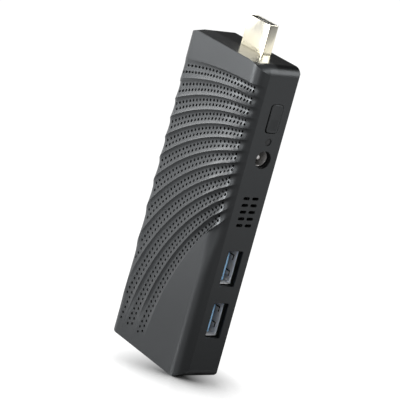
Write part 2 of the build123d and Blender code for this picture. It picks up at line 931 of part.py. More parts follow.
def fan_rotor():
    """Cup-shaped hub with swept blades."""
    top, low = hub_top_y(), blade_span()[1]
    hub = tube_y(hub_radius, hub_radius - hub_wall, top, low, fan_x, fan_z)
    hub = hub + tube_y(hub_radius, shaft_radius, top, top + hub_wall, fan_x, fan_z)
    start = hub_radius - hub_wall / 2
    length = (blade_tip_radius - start) / math.cos(math.radians(blade_sweep)) * 0.98
    blade = box((0, length), blade_span(), (-blade_thickness / 2, blade_thickness / 2))
    blade = blade.moved(Location((start, 0, 0), (0, blade_sweep, 0)))
    for k in range(blade_count):
        turned = blade.moved(Location((fan_x, 0, fan_z), (0, k * 360 / blade_count, 0)))
        hub = hub + turned
    return hub - rod_y(hub_radius - hub_wall, top + hub_wall, low + 1, fan_x, fan_z)


def fan_magnet():
    """Ring magnet inside the hub."""
    outer = hub_radius - hub_wall
    return tube_y(outer, outer - magnet_thickness, hub_top_y() + hub_wall, blade_span()[1] - 0.2,
                  fan_x, fan_z)


def fan_shaft():
    return rod_y(shaft_radius, hub_top_y(), fan_floor_y() - 0.3, fan_x, fan_z)


def fan_bearing():
    """Sleeve bearing in the socket of the fan's floor."""
    return tube_y(bearing_radius, shaft_radius + running_clearance, core_y()[0] - 0.3,
                  fan_floor_y() - 0.05, fan_x, fan_z)


def core_y():
    """Depths between which the stator core lies."""
    high = fan_floor_y() - core_height
    return high - core_thickness, high


def pole_box(width, r0, r1, y):
    return box((r0, r1), y, (-width / 2, width / 2))


def around_fan(solid, step):
    return solid.moved(Location((fan_x, 0, fan_z), (0, step * 90, 0)))


def stator_core():
    """Four-pole iron core on the bearing socket."""
    y = core_y()
    inner = bearing_radius + bearing_socket_wall
    core = tube_y(inner + 0.6, inner, *y, fan_x, fan_z)
    shoe = tube_y(core_radius, core_radius - pole_shoe, *y, 0, 0)
    shoe = shoe & box((0, core_radius + 1), y, (-1.7, 1.7))
    pole = pole_box(pole_width, inner + 0.3, core_radius - pole_shoe / 2, y) + shoe
    for step in range(4):
        core = core + around_fan(pole, step)
    return core


def stator_coils():
    """One winding round each pole."""
    y = core_y()
    inner = bearing_radius + bearing_socket_wall + 0.62
    outer = core_radius - pole_shoe - 0.15
    grown = (y[0] - coil_build, y[1] + coil_build)
    coil = pole_box(pole_width + 2 * coil_build, inner, outer, grown)
    coil = coil - pole_box(pole_width, inner - 1, outer + 1, y)
    return group([around_fan(coil, step) for step in range(4)])


def fan_driver_board():
    """Ring-shaped board under the windings."""
    y1 = fan_floor_y() - solder_gap
    inner = bearing_radius + bearing_socket_wall + 0.05
    ring = tube_y(core_radius, inner, y1 - driver_board_thickness, y1, fan_x, fan_z)
    return ring


# Leads

def lead(points, radius):
    """A round lead along straight runs joined by arcs as large as the runs allow."""
    radii = []
    for a, b, c in zip(points, points[1:], points[2:]):
        run_in, run_out = Vector(b) - Vector(a), Vector(c) - Vector(b)
        turn = math.radians(run_in.get_angle(run_out))
        radii.append(0.45 * min(run_in.length, run_out.length) / math.tan(turn / 2))
    print("lead radii", [round(r, 1) for r in radii])
    path = FilletPolyline(*points, radius=radii)
    start = Plane(origin=path @ 0, z_dir=path % 0)
    return sweep(start * Circle(radius), path=path)


def fan_wires():
    """Three thin wires from the fan's driver board to its plug."""
    y = fan_floor_y() - wire_radius - 0.02
    edge = fan_z - fan_size / 2
    wires = []
    for k in (-1, 0, 1):
        x = fan_x + k * wire_pitch
        points = [(x, y, fan_z - core_radius - 0.02), (x, y, edge - 1.6),
                  (x, fan_plug_y(), edge - 4.4), (x, fan_plug_y(), fan_plug_top())]
        wires.append(lead(points, wire_radius))
    return group(wires)


def fan_plug_y():
    return board_face - 2.1


def fan_plug_top():
    return fan_z - fan_size / 2 - 6.4


def fan_plug():
    """Plug on the fan's wires, seated in its socket."""
    top = fan_plug_top() - 0.02
    return box((fan_x - 1.6, fan_x + 1.6), (fan_plug_y() - 0.8, fan_plug_y() + 0.8), (top - 2.6, top))


def fan_socket():
    """Low socket on the board that takes the fan's plug."""
    top = fan_plug_top() - 0.4
    block = box((fan_x - 2.4, fan_x + 2.4), (fan_plug_y() - 1.2, board_face), (top - 3.2, top))
    room = box((fan_x - 1.63, fan_x + 1.63), (fan_plug_y() - 0.83, fan_plug_y() + 0.83),
               (top - 2.25, top + 1))
    return block - room


def module_place():
    """Middle of the wireless module."""
    return -half_width + 9.8, 94.0


def module_face():
    return board_face - module_size[2]


def coax_places():
    """The two aerial connectors of the wireless module."""
    x, z = module_place()
    top = z + module_size[1] / 2 - 2.0
    return [(x - 3.4, top), (x + 2.2, top)]


def wireless_board():
    return on_board(module_size, *module_place())


def wireless_shield():
    """Folded metal lid over the wireless chips."""
    x, z = module_place()
    z = z - 2.2
    y1 = module_face() - solder_gap
    width, height, depth = shield_size
    outer = box((x - width / 2, x + width / 2), (y1 - depth, y1), (z - height / 2, z + height / 2))
    t = shield_sheet
    inner = box((x - width / 2 + t, x + width / 2 - t), (y1 - depth + t, y1 + 1),
                (z - height / 2 + t, z + height / 2 - t))
    return outer - inner


def wireless_chip():
    """Radio chip under the shield."""
    x, z = module_place()
    y1 = module_face() - solder_gap
    return box((x - 3, x + 3), (y1 - 0.9, y1), (z - 5.2, z + 0.8))


def coax_plugs():
    """Snap-on aerial connectors."""
    y1 = module_face() - solder_gap
    return group([rod_y(coax_plug_radius, y1 - coax_plug_height, y1, x, z) for x, z in coax_places()])


def aerial(low_z):
    """Flexible aerial stuck inside the left wall."""
    x0 = -inner_x + solder_gap
    return box((x0, x0 + aerial_thickness), (-aerial_depth / 2, aerial_depth / 2),
               (low_z, low_z + aerial_height))


def aerial_line_x():
    """A lead's centre where it lies on an aerial."""
    return -inner_x + aerial_thickness + coax_radius + 2 * solder_gap


def main_lead():
    """Coaxial lead from the wireless module to the main aerial beside it."""
    x, z = coax_places()[0]
    y = module_face() - solder_gap - coax_plug_height / 2
    start = z + coax_plug_radius + 0.02
    return lead([(x, y, start), (x, y, start + 4.0), (aerial_line_x(), 0.8, start + 7.5),
                 (aerial_line_x(), 0.8, start + 11.0)], coax_radius)


def second_lead():
    """Coaxial lead that runs down the left wall, past the fan, to the lower aerial."""
    x, z = coax_places()[1]
    y = module_face() - solder_gap - coax_plug_height / 2
    start = z + coax_plug_radius + 0.02
    wall_x = -inner_x + 1.35
    front = parting_y - 1.2
    return lead([(x, y, start), (x, y, start + 4.6), (x - 5.0, 0.0, start + 7.0),
                 (wall_x, front, start + 2.0), (wall_x, front, 52.0),
                 (wall_x + 0.6, front + 2.2, 45.5), (aerial_line_x(), -0.4, 38.5),
                 (aerial_line_x(), 0.4, 31.0)], coax_radius)


def nodes():
    """Every node of the assembly by name."""
    parts = {
        "front_cover": front_cover(),
        "rear_housing": rear_housing(),
        "case_screws": case_screws(),
        "power_button": power_button(),
        "switch_body": switch_body(),
        "switch_plunger": switch_plunger(),
        "light_pipe": light_pipe(),
        "power_light": power_light(),
        "main_board": main_board(),
        "board_screws": board_screws(),
        "plug_shell": plug_shell(),
        "plug_core": plug_core(),
        "plug_contacts": plug_contacts(),
        "jack_housing": jack_housing(),
        "jack_sleeve": jack_sleeve(),
        "jack_pin": jack_pin(),
        "processor": on_board(processor_size, processor_x(), fan_z),
        "thermal_pad": thermal_pad(),
        "heat_sink": heat_sink(),
        "sink_screws": sink_screws(),
        "memory_chips": chips(memory_size, [(1.4, 45.0), (1.4, 35.0)]),
        "storage_chip": on_board(storage_size, -14.0, 33.5),
        "power_chip": on_board(power_chip_size, -1.4, 97.0),
        "usb_hub_chip": on_board(hub_chip_size, 0.4, 20.6),
        "flash_chip": on_board(flash_size, -14.0, 24.0),
        "timing_crystal": on_board(crystal_size, 4.8, 27.6),
        "power_inductors": chips(inductor_size, [(5.4, 90.6), (5.4, 97.0), (-1.4, 90.6)]),
        "tank_capacitors": tank_capacitors(),
        "small_components": small_components(),
        "clock_cell": clock_cell(),
        "wireless_board": wireless_board(),
        "wireless_chip": wireless_chip(),
        "wireless_shield": wireless_shield(),
        "coax_plugs": coax_plugs(),
        "main_aerial": aerial(86.0),
        "second_aerial": aerial(10.0),
        "main_aerial_lead": main_lead(),
        "second_aerial_lead": second_lead(),
        "fan_housing": fan_housing(),
        "fan_lid": fan_lid_plate(),
        "fan_rotor": fan_rotor(),
        "fan_magnet": fan_magnet(),
        "fan_shaft": fan_shaft(),
        "fan_bearing": fan_bearing(),
        "stator_core": stator_core(),
        "stator_coils": stator_coils(),
        "fan_driver_board": fan_driver_board(),
        "fan_screws": fan_screws(),
        "fan_wires": fan_wires(),
        "fan_plug": fan_plug(),
        "fan_socket": fan_socket(),
    }
    for name, height in socket_heights.items():
        parts[name + "_usb_shell"] = socket_shell(height)
        parts[name + "_usb_core"] = socket_core(height)
        parts[name + "_usb_contacts"] = socket_contacts(height)
    return parts


os.makedirs("parts", exist_ok=True)
for node, shape in nodes().items():
    export_step(shape, f"parts/{node}.step")
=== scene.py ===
import math

import bmesh
import bpy
import numpy as np
from mathutils import Matrix, Vector


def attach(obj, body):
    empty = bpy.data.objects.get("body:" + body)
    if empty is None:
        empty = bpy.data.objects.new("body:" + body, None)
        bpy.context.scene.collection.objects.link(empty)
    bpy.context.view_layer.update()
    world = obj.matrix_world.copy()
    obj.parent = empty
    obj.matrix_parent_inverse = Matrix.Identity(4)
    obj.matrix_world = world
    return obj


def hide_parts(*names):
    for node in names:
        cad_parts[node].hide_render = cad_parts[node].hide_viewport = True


bl_info = {
    "name": "Media stick",
    "version": (1, 0, 0),
    "blender": (4, 5, 0),
    "location": "3D View > Sidebar > Media stick",
    "description": "Builds the visible pieces of a stick-shaped media player round its CAD frame",
    "category": "Add Mesh",
}

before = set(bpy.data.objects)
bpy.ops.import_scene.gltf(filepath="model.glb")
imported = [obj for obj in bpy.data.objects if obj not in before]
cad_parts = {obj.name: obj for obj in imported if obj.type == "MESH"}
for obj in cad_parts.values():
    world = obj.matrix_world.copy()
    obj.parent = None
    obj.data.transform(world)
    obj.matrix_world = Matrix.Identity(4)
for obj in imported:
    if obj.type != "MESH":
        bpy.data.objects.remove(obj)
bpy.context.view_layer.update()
MM = 0.001

# Case sizes in millimetres, as in the CAD model
CASE_WIDTH, CASE_THICKNESS, CASE_LENGTH = 47.0, 19.5, 124.5
SIDE_X = CASE_WIDTH / 2
SKIRT_DEPTH, SKIRT_DRAFT, EDGE_LEAD = 5.4, 12.0, 4.0
WALL, GRILLE_DEPTH = 1.6, 2.4
CORNER_RADIUS, TOP_CORNER_REACH, CORNER_FADE = 4.0, 7.5, 7
PORT_MOUTH_X = SIDE_X - 2.1

# Plug, and the slot in it that takes the other side's blade
PLUG_X, PLUG_Y = 1.8, 3.7
PLUG_WIDTH, PLUG_DEPTH, PLUG_SHEET, PLUG_CORNER = 13.9, 4.45, 0.3, 0.6
PLUG_ROOT_Z, PLUG_TIP_Z = CASE_LENGTH - 11.0, CASE_LENGTH + 11.55
SLOT_HALF_WIDTH, SLOT_HALF_DEPTH, SLOT_REACH = 5.65, 0.95, 7
CONTACT_HALF_WIDTH, CONTACT_RISE, CONTACT_SUNK = 0.21, 0.16, 0.02

# Sockets, with two windows in each broad wall. The ends are distances behind the mouth.
SOCKET_Y, SOCKET_HEIGHTS = 2.5, {"lower": 23.9, "upper": 45.1}
SOCKET_DEPTH, SOCKET_HEIGHT, SOCKET_LENGTH, SOCKET_SHEET = 5.75, 13.2, 14, 0.3
FLARE_CUTS, FLARE_RATE = (0.95, 0.45), 0.26
WINDOW_OFFSETS, WINDOW_ENDS, WINDOW_HALF_HEIGHT = (-3.2, 3.2), (4.6, 1.4), 1.15
FINGER_ENDS, FINGER_HALF_HEIGHT, FINGER_BOW = (4.8, 1.85), 0.75, 0.55
TAILS_ENDS, TAILS_HALF_HEIGHT = (15, 11.8), 5.4
TONGUE_ENDS, TONGUE_HALF_HEIGHT, TONGUE_THICKNESS = (13.6, 0.5), 5.6, 1.8
CORE_ENDS, CORE_HALF_DEPTH, CORE_HALF_HEIGHT = (13.69, 9.1), 2.56, 6.28

# Jack, button and light window
JACK_Y, JACK_Z = 3.1, 88.7
JACK_RADIUS, JACK_SHEET, JACK_LENGTH = 3.15, 0.3, 9.92
PIN_RADIUS, PIN_ENDS = 1.0, (11.42, 1.0)
BUTTON_Y, BUTTON_Z = 3.0, 104.8
CAP_FRONT, CAP_BACK, CAP_HALF_HEIGHT = 2.3, 2.92, 5.45
FLANGE_X, FLANGE_HALF_DEPTH, FLANGE_HALF_HEIGHT = (21.15, 21.95), 3.5, 6.2
POST_RADIUS, POST_X, POST_Y = 1.3, (20.85, 21.25), 3.495
LIGHT_Y, LIGHT_Z = 3.2, 95.75
PIPE_RADIUS, PIPE_X = 1.43, (21.8, 23.2)
PIPE_STEPS = ((1.8, (21.28, 21.98)), (0.98, (19.8, 21.4)))

# Grille: an arc is named by its number, whole along the middle of a band. An arc passes through
# a height at the anchor's width and leans there by an angle in degrees, and both change with the
# number. Its radius shrinks over the first few arcs and then grows.
BANDS = 12
ARC_ANCHOR = 20.7
ARC_HEIGHT = (CASE_LENGTH - 9.8, 4.24, 0.0038)
ARC_LEAN = (0.5, 1.58, 0.243)
ARC_RADIUS, ARC_EXTRA, ARC_SHRINK, ARC_GROWTH = 86.4, 62.0, 0.368, 0.088
LIP = 0.35
ROW_OFFSET = 0.17
HOLES_LEAST = 22
ROW_RIGHT_X, ROW_LEFT_X, ROW_LOWEST_Z = 21.9, -19.2, 7.0

# Relief of the bands: between which places, in millimetres, it swells or fades out, and what
# share is added or left there. LOW_BANDS and the next two are arc numbers.
SWELL, SWELL_SHARE, RIGHT_FADE = (8.0, 17.0), 0.5, (19.5, 27.0)
LEFT_FADE, LEFT_REST, LOW_LEFT_FADE = (-25.0, -17.0), 0.2, (-24.5, -14.0)
FIRST_FADE, FIRST_REST, FOOT_FADE = (-24.0, -6.0), 0.35, (0.5, 24.0)
LOW_BANDS = (7.0, 9.5)
FIRST_BAND_END, LAST_BANDS_START = 0.6, 8.4
SCOOP_LOW, SCOOP_EXTRA, SCOOP_SWELL, SCOOP_START = 0.27, 0.15, (8.0, 21.0), 0.06
FOOT_HOLLOW, FOOT_HOLLOW_SHARE, FOOT_HOLLOW_REACH = (17.5, 22.5, 26.8), 1.1, 12.0

# Cover's two ends: softened rim, and the wall behind it
END_TILT, END_SET_BACK, END_CUT = 0.7, 0.12, 0.15
END_WALL_SUNK, END_WALL_INSET, END_WALL_STEP = 0.02, 0.004, 0.3

# Case finish: extra gloss of the top end, and the button's matt pad
TOP_GLOSS, PAD_EDGE, PAD_SHADE, PAD_ROUGHNESS = 0.14, 0.2, 0.35, 0.12

# Places nearer than this count as the same
NEAR = 0.01


class StickSizes(bpy.types.PropertyGroup):
    hole_radius: bpy.props.FloatProperty(
        name="Hole radius", description="Radius of the grille's holes, in millimetres",
        default=0.57, min=0.2, max=1.0)
    hole_pitch: bpy.props.FloatProperty(
        name="Hole pitch", description="Distance between holes along a row, in millimetres",
        default=2.3, min=1.6, max=4.0)
    relief: bpy.props.FloatProperty(
        name="Band relief", default=1.0, min=0.1, max=1.2,
        description="Depth of a band's upper edge below its lower edge, in millimetres")


class StickColours(bpy.types.PropertyGroup):
    case: bpy.props.FloatVectorProperty(
        name="Case", description="Colour of the moulded case", subtype="COLOR", size=3,
        default=(0.0215, 0.0225, 0.0235), min=0, max=1)
    plug: bpy.props.FloatVectorProperty(
        name="Plug", description="Colour of the plug's plating", subtype="COLOR", size=3,
        default=(0.95, 0.88, 0.66), min=0, max=1)
    tongue: bpy.props.FloatVectorProperty(
        name="Tongue", description="Colour of the sockets' insulators", subtype="COLOR", size=3,
        default=(0.09, 0.30, 0.66), min=0, max=1)
    board: bpy.props.FloatVectorProperty(
        name="Board", description="Colour of the circuit boards", subtype="COLOR", size=3,
        default=(0.010, 0.013, 0.012), min=0, max=1)


def sizes():
    return bpy.context.scene.stick_sizes


def colours():
    return bpy.context.scene.stick_colours


# Materials

def join(tree, value, socket):
    """Gives a node's input a number, a colour or another node's output."""
    if isinstance(value, bpy.types.NodeSocket):
        tree.links.new(value, socket)
    else:
        socket.default_value = value


def add_node(tree, kind, inputs, output=0, **settings):
    """A new node with its settings and inputs. Gives the output that is asked for."""
    node = tree.nodes.new("ShaderNode" + kind)
    for name, value in settings.items():
        setattr(node, name, value)
    for name, value in inputs.items():
        join(tree, value, node.inputs[name])
    return node.outputs[output]


def range_inputs(value, low, high, from_low, from_high):
    """Inputs of a node that maps one range of a value to another."""
    return {"Value": value, "From Min": from_low, "From Max": from_high,
            "To Min": low, "To Max": high}


class Finish:
    """A node material under construction, patterned on the piece's own object coordinates."""

    def __init__(self, name, colour, metallic=0.0, roughness=0.5, specular=0.5):
        self.material = bpy.data.materials.new(name)
        self.material.use_nodes = True
        self.material.diffuse_color = (*colour, 1)
        self.tree = self.material.node_tree
        self.colour = colour
        self.set("Base Color", (*colour, 1))
        self.set("Metallic", metallic)
        self.set("Roughness", roughness)
        self.set("Specular IOR Level", specular)
        self.place = self.add("TexCoord", {}, "Object")

    def set(self, socket, value):
        join(self.tree, value, self.tree.nodes["Principled BSDF"].inputs[socket])

    def add(self, kind, inputs, output=0, **settings):
        return add_node(self.tree, kind, inputs, output, **settings)

    def axis(self, name):
        return self.add("SeparateXYZ", {0: self.place}, name)

    def mapped(self, stretch):
        return self.add("Mapping", {"Vector": self.place, "Scale": stretch})

    def noise(self, size_mm, detail=3.0, stretch=(1, 1, 1)):
        """Noise whose patches are about size_mm across."""
        return self.add("TexNoise", {"Vector": self.mapped(stretch), "Scale": 1 / (size_mm * MM),
                                     "Detail": detail, "Roughness": 0.55})

    def ranged(self, value, low, high, from_low=0.3, from_high=0.7):
        return self.add("MapRange", range_inputs(value, low, high, from_low, from_high))

    def ramp(self, value, start, end):
        """0 at one distance in millimetres and 1 at another."""
        return self.ranged(value, 0, 1, start * MM, end * MM)

    def maths(self, operation, first, second=0.0):
        return self.add("Math", {0: first, 1: second}, operation=operation)

    def times(self, first, second):
        return self.maths("MULTIPLY", first, second)

    def vectors(self, operation, second=(0, 0, 0)):
        """A number worked out from the place and a second vector."""
        return self.add("VectorMath", {0: self.place, 1: second}, "Value", operation=operation)

    def blend(self, share, first, second):
        """Base colour that goes from one colour to another."""
        ends = {6: (*first, 1), 7: (*second, 1)}
        self.set("Base Color", self.add("Mix", {0: share, **ends}, 2, data_type="RGBA"))

    def tint(self, share, darker, lighter):
        """Base colour between two shades of the finish's colour."""
        self.blend(share, *[[min(1, c * k) for c in self.colour] for k in (darker, lighter)])

    def vary_roughness(self, value, low, high):
        self.set("Roughness", self.ranged(value, low, high))

    def bump(self, value, depth_mm, strength=1.0):
        self.set("Normal", self.add("Bump", {"Strength": strength, "Distance": depth_mm * MM,
                                             "Height": value}))


def case_finish(name, finger_pad=False):
    """Satin case plastic: glossier top end, painted shade away from the side faces on the rear
    part, which darkens the openings' walls, and perhaps a matt pad.
    """
    f = Finish(name, tuple(colours().case), roughness=0.38, specular=0.36)
    f.set("Specular Tint", (0.92, 0.97, 1.0, 1.0))
    # Painted shade: the colour falls to 0.15 of itself more than 0.3 mm inward of the side faces on
    # the rear part, standing in for the shade inside the openings and round the button's sides.
    inside = f.ramp(f.maths("ABSOLUTE", f.axis("X")), SIDE_X - 0.3, SIDE_X - 0.55)
    on_side = f.ramp(f.axis("Y"), BUTTON_Y - 4.2, BUTTON_Y - 3.4)
    shade = f.times(inside, on_side)
    end = f.ramp(f.axis("Z"), CASE_LENGTH - 0.6, CASE_LENGTH - 0.05)
    rough = f.ranged(f.noise(9.0, detail=2), 0.36, 0.40)
    rough = f.maths("SUBTRACT", rough, f.times(end, TOP_GLOSS))
    if finger_pad:
        pad = 1.0
        for axis, low, high in (("Y", BUTTON_Y - 1.5, BUTTON_Y + 2.2),
                                ("Z", BUTTON_Z - 4.5, BUTTON_Z - 0.3)):
            for edge, blur in ((low, PAD_EDGE), (high, -PAD_EDGE)):
                pad = f.times(f.ramp(f.axis(axis), edge - blur, edge + blur), pad)
        shade = f.maths("MAXIMUM", shade, f.times(pad, PAD_SHADE))
        rough = f.maths("ADD", rough, f.times(pad, PAD_ROUGHNESS))
    f.tint(shade, 1.0, 0.15)
    f.set("Roughness", rough)
    f.bump(f.noise(0.35, detail=2), 0.004)
    return f.material


def moulded(name, colour, roughness=0.42, grain_mm=0.35, grain_depth=0.004, specular=0.35):
    """Moulded plastic with a fine spark-eroded grain and faint cloudiness."""
    f = Finish(name, colour, roughness=roughness, specular=specular)
    cloud = f.noise(9.0, detail=2)
    f.tint(cloud, 0.95, 1.05)
    f.vary_roughness(cloud, roughness - 0.03, roughness + 0.03)
    f.bump(f.noise(grain_mm, detail=2), grain_depth)
    return f.material


def plated(name, colour, roughness=0.16, brush=(1, 1, 1), scratch=0.002):
    """Plated or ground metal with faint brushing along one direction."""
    f = Finish(name, colour, metallic=1.0, roughness=roughness)
    lines = f.noise(0.5, detail=4, stretch=brush)
    f.tint(f.noise(4.0), 0.93, 1.04)
    f.vary_roughness(lines, roughness * 0.75, roughness * 1.3)
    f.bump(lines, scratch)
    return f.material


def satin_metal(name, colour, roughness=0.35):
    """Matt tinned or nickelled sheet, which scatters as well as mirrors."""
    f = Finish(name, colour, metallic=0.55, roughness=roughness, specular=0.6)
    f.tint(f.noise(2.5), 0.95, 1.05)
    f.vary_roughness(f.noise(0.8), roughness - 0.04, roughness + 0.05)
    return f.material


def rubbery(name, colour):
    """Soft jacket or pad with an uneven, slightly rough skin."""
    f = Finish(name, colour, roughness=0.6, specular=0.4)
    f.tint(f.noise(1.2), 0.85, 1.15)
    f.bump(f.noise(0.2, detail=2), 0.006)
    return f.material


def board_finish(name, colour):
    """Solder mask with paler lines where it covers copper tracks."""
    f = Finish(name, colour, roughness=0.32)
    edges = f.add("TexVoronoi", {"Vector": f.mapped((1, 0.2, 1)), "Scale": 1 / (3.2 * MM)},
                  feature="DISTANCE_TO_EDGE")
    tracks = f.ranged(edges, 1.0, 0.0, 0.03, 0.06)
    f.tint(tracks, 0.85, 1.7)
    f.bump(tracks, 0.02, 0.6)
    return f.material


def chip_finish(name, colour, roughness=0.55):
    """Moulded epoxy with a slightly sandy face."""
    f = Finish(name, colour, roughness=roughness, specular=0.4)
    f.tint(f.noise(0.6, detail=4), 0.8, 1.3)
    f.bump(f.noise(0.12, detail=3), 0.01)
    return f.material


def give(obj, material):
    obj.data.materials.clear()
    obj.data.materials.append(material)
    for p in obj.data.polygons:
        p.material_index = 0


def dress(material, *names):
    """Gives a finish to CAD nodes that are shown as they are."""
    for name in names:
        give(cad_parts[name], material)


# Modelling helpers

def set_mode(mode):
    bpy.ops.object.mode_set(mode=mode)


def clear_selection():
    if bpy.context.object and bpy.context.object.mode != "OBJECT":
        set_mode("OBJECT")
    bpy.ops.object.select_all(action="DESELECT")


def only(obj):
    clear_selection()
    obj.select_set(True)
    bpy.context.view_layer.objects.active = obj


def settle():
    """Puts the place of the primitive that was just added into its mesh."""
    obj = bpy.context.view_layer.objects.active
    only(obj)
    bpy.ops.object.transform_apply(location=True, rotation=True, scale=True)
    return obj


def around(centre, half):
    """Limits at the same distance on both sides of a centre."""
    return centre - half, centre + half


def behind_mouth(far, near=0):
    """Limits across the width at two distances behind the mouth of the sockets and the jack."""
    return PORT_MOUTH_X - far, PORT_MOUTH_X - near


def block(*limits):
    """A block between three pairs of limits in millimetres."""
    clear_selection()
    bpy.ops.mesh.primitive_cube_add(size=1, location=[(a + b) / 2 * MM for a, b in limits],
                                    scale=[(b - a) * MM for a, b in limits])
    return settle()


def drum(radius, limits, y, z, vertices=48):
    """A cylinder along the width between two limits, in millimetres."""
    clear_selection()
    low, high = limits
    bpy.ops.mesh.primitive_cylinder_add(
        vertices=vertices, radius=radius * MM, depth=(high - low) * MM,
        location=((low + high) / 2 * MM, y * MM, z * MM), rotation=(0, math.pi / 2, 0))
    return settle()


def modified(obj, kind, **values):
    """Adds a modifier, sets its values and applies it."""
    only(obj)
    modifier = obj.modifiers.new(kind.title(), kind)
    for name, value in values.items():
        setattr(modifier, name, value)
    bpy.ops.object.modifier_apply(modifier=modifier.name)
    return obj


def combine(obj, other, operation="DIFFERENCE"):
    """Boolean of two solids. The second one is used up."""
    modified(obj, "BOOLEAN", operation=operation, object=other, solver="EXACT")
    bpy.data.objects.remove(other)


def rounded(obj, width_mm, angle=40):
    """Rounds an object's sharp edges."""
    return modified(obj, "BEVEL", width=width_mm * MM, segments=2, limit_method="ANGLE",
                    angle_limit=math.radians(angle), use_clamp_overlap=True)


def smooth(obj, angle=35):
    only(obj)
    bpy.ops.object.shade_smooth_by_angle(angle=math.radians(angle))
    return obj


def select(obj, kind, test):
    """Selects in edit mode the edges, by their ends, or the faces, by middle and normal."""
    only(obj)
    set_mode("EDIT")
    bpy.ops.mesh.select_all(action="DESELECT")
    bpy.ops.mesh.select_mode(type=kind)
    mesh = bmesh.from_edit_mesh(obj.data)
    if kind == "EDGE":
        for edge in mesh.edges:
            edge.select = test(*[v.co / MM for v in edge.verts])
    else:
        for face in mesh.faces:
            face.select = test(face.calc_center_median() / MM, face.normal)
    mesh.select_flush_mode()
    bmesh.update_edit_mesh(obj.data)


def runs_along(axis, least=0.1):
    """A test for edges that run along an axis."""
    return lambda a, b: abs(getattr(a, axis) - getattr(b, axis)) > least


def lies_past(axis, limit):
    """A test for edges that lie wholly past a limit."""
    return lambda a, b: min(getattr(a, axis), getattr(b, axis)) > limit


def soften(obj, width_mm, segments, test):
    """Bevels the edges that pass a test."""
    select(obj, "EDGE", test)
    bpy.ops.mesh.bevel(offset=width_mm * MM, segments=segments, affect="EDGES")
    set_mode("OBJECT")
    return obj


def hollow(bar, axis, sheet, mouth, rim):
    """Makes a sheet tube of a bar, and rounds the rim at its mouth."""
    select(bar, "FACE", lambda middle, normal: abs(getattr(normal, axis)) > 0.9)
    bpy.ops.mesh.inset(thickness=sheet * MM)
    bpy.ops.mesh.bridge_edge_loops()
    soften(bar, rim, 3, lies_past(axis, mouth - NEAR))
    set_mode("EDIT")
    bpy.ops.mesh.select_all(action="SELECT")
    bpy.ops.mesh.remove_doubles(threshold=1e-7)
    bpy.ops.mesh.normals_make_consistent(inside=False)
    set_mode("OBJECT")


def placed(obj, name, material, body, slot, *nodes):
    """Names a finished piece, gives it its finish and ties it to the frame."""
    clear_selection()
    obj.name = obj.data.name = name
    give(obj, material)
    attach(obj, body)
    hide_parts(*nodes)


# Front cover: drawn as a flat sheet of width, height and depth, then folded round the long edges

def arc_of(number):
    """Centre and radius of a grille arc; the number may be an array."""
    top, fall, cubic_fall = ARC_HEIGHT
    height = top - fall * number - cubic_fall * number ** 3
    start, rate, growth = ARC_LEAN
    lean = np.radians(start + rate * number + growth * number ** 2)
    radius = ARC_RADIUS + ARC_EXTRA * ARC_SHRINK ** number + ARC_GROWTH * number ** 2
    return ARC_ANCHOR + radius * np.sin(lean), height - radius * np.cos(lean), radius


def row_span(number):
    """First and last angle of the holes along an arc."""
    x, z, radius = arc_of(number)
    first = math.acos((ROW_RIGHT_X - x) / radius)
    left = math.acos(max(-1.0, (ROW_LEFT_X - x) / radius))
    low = math.pi - math.asin(max(-1.0, min(1.0, (ROW_LOWEST_Z - z) / radius)))
    return first, min(left, low)


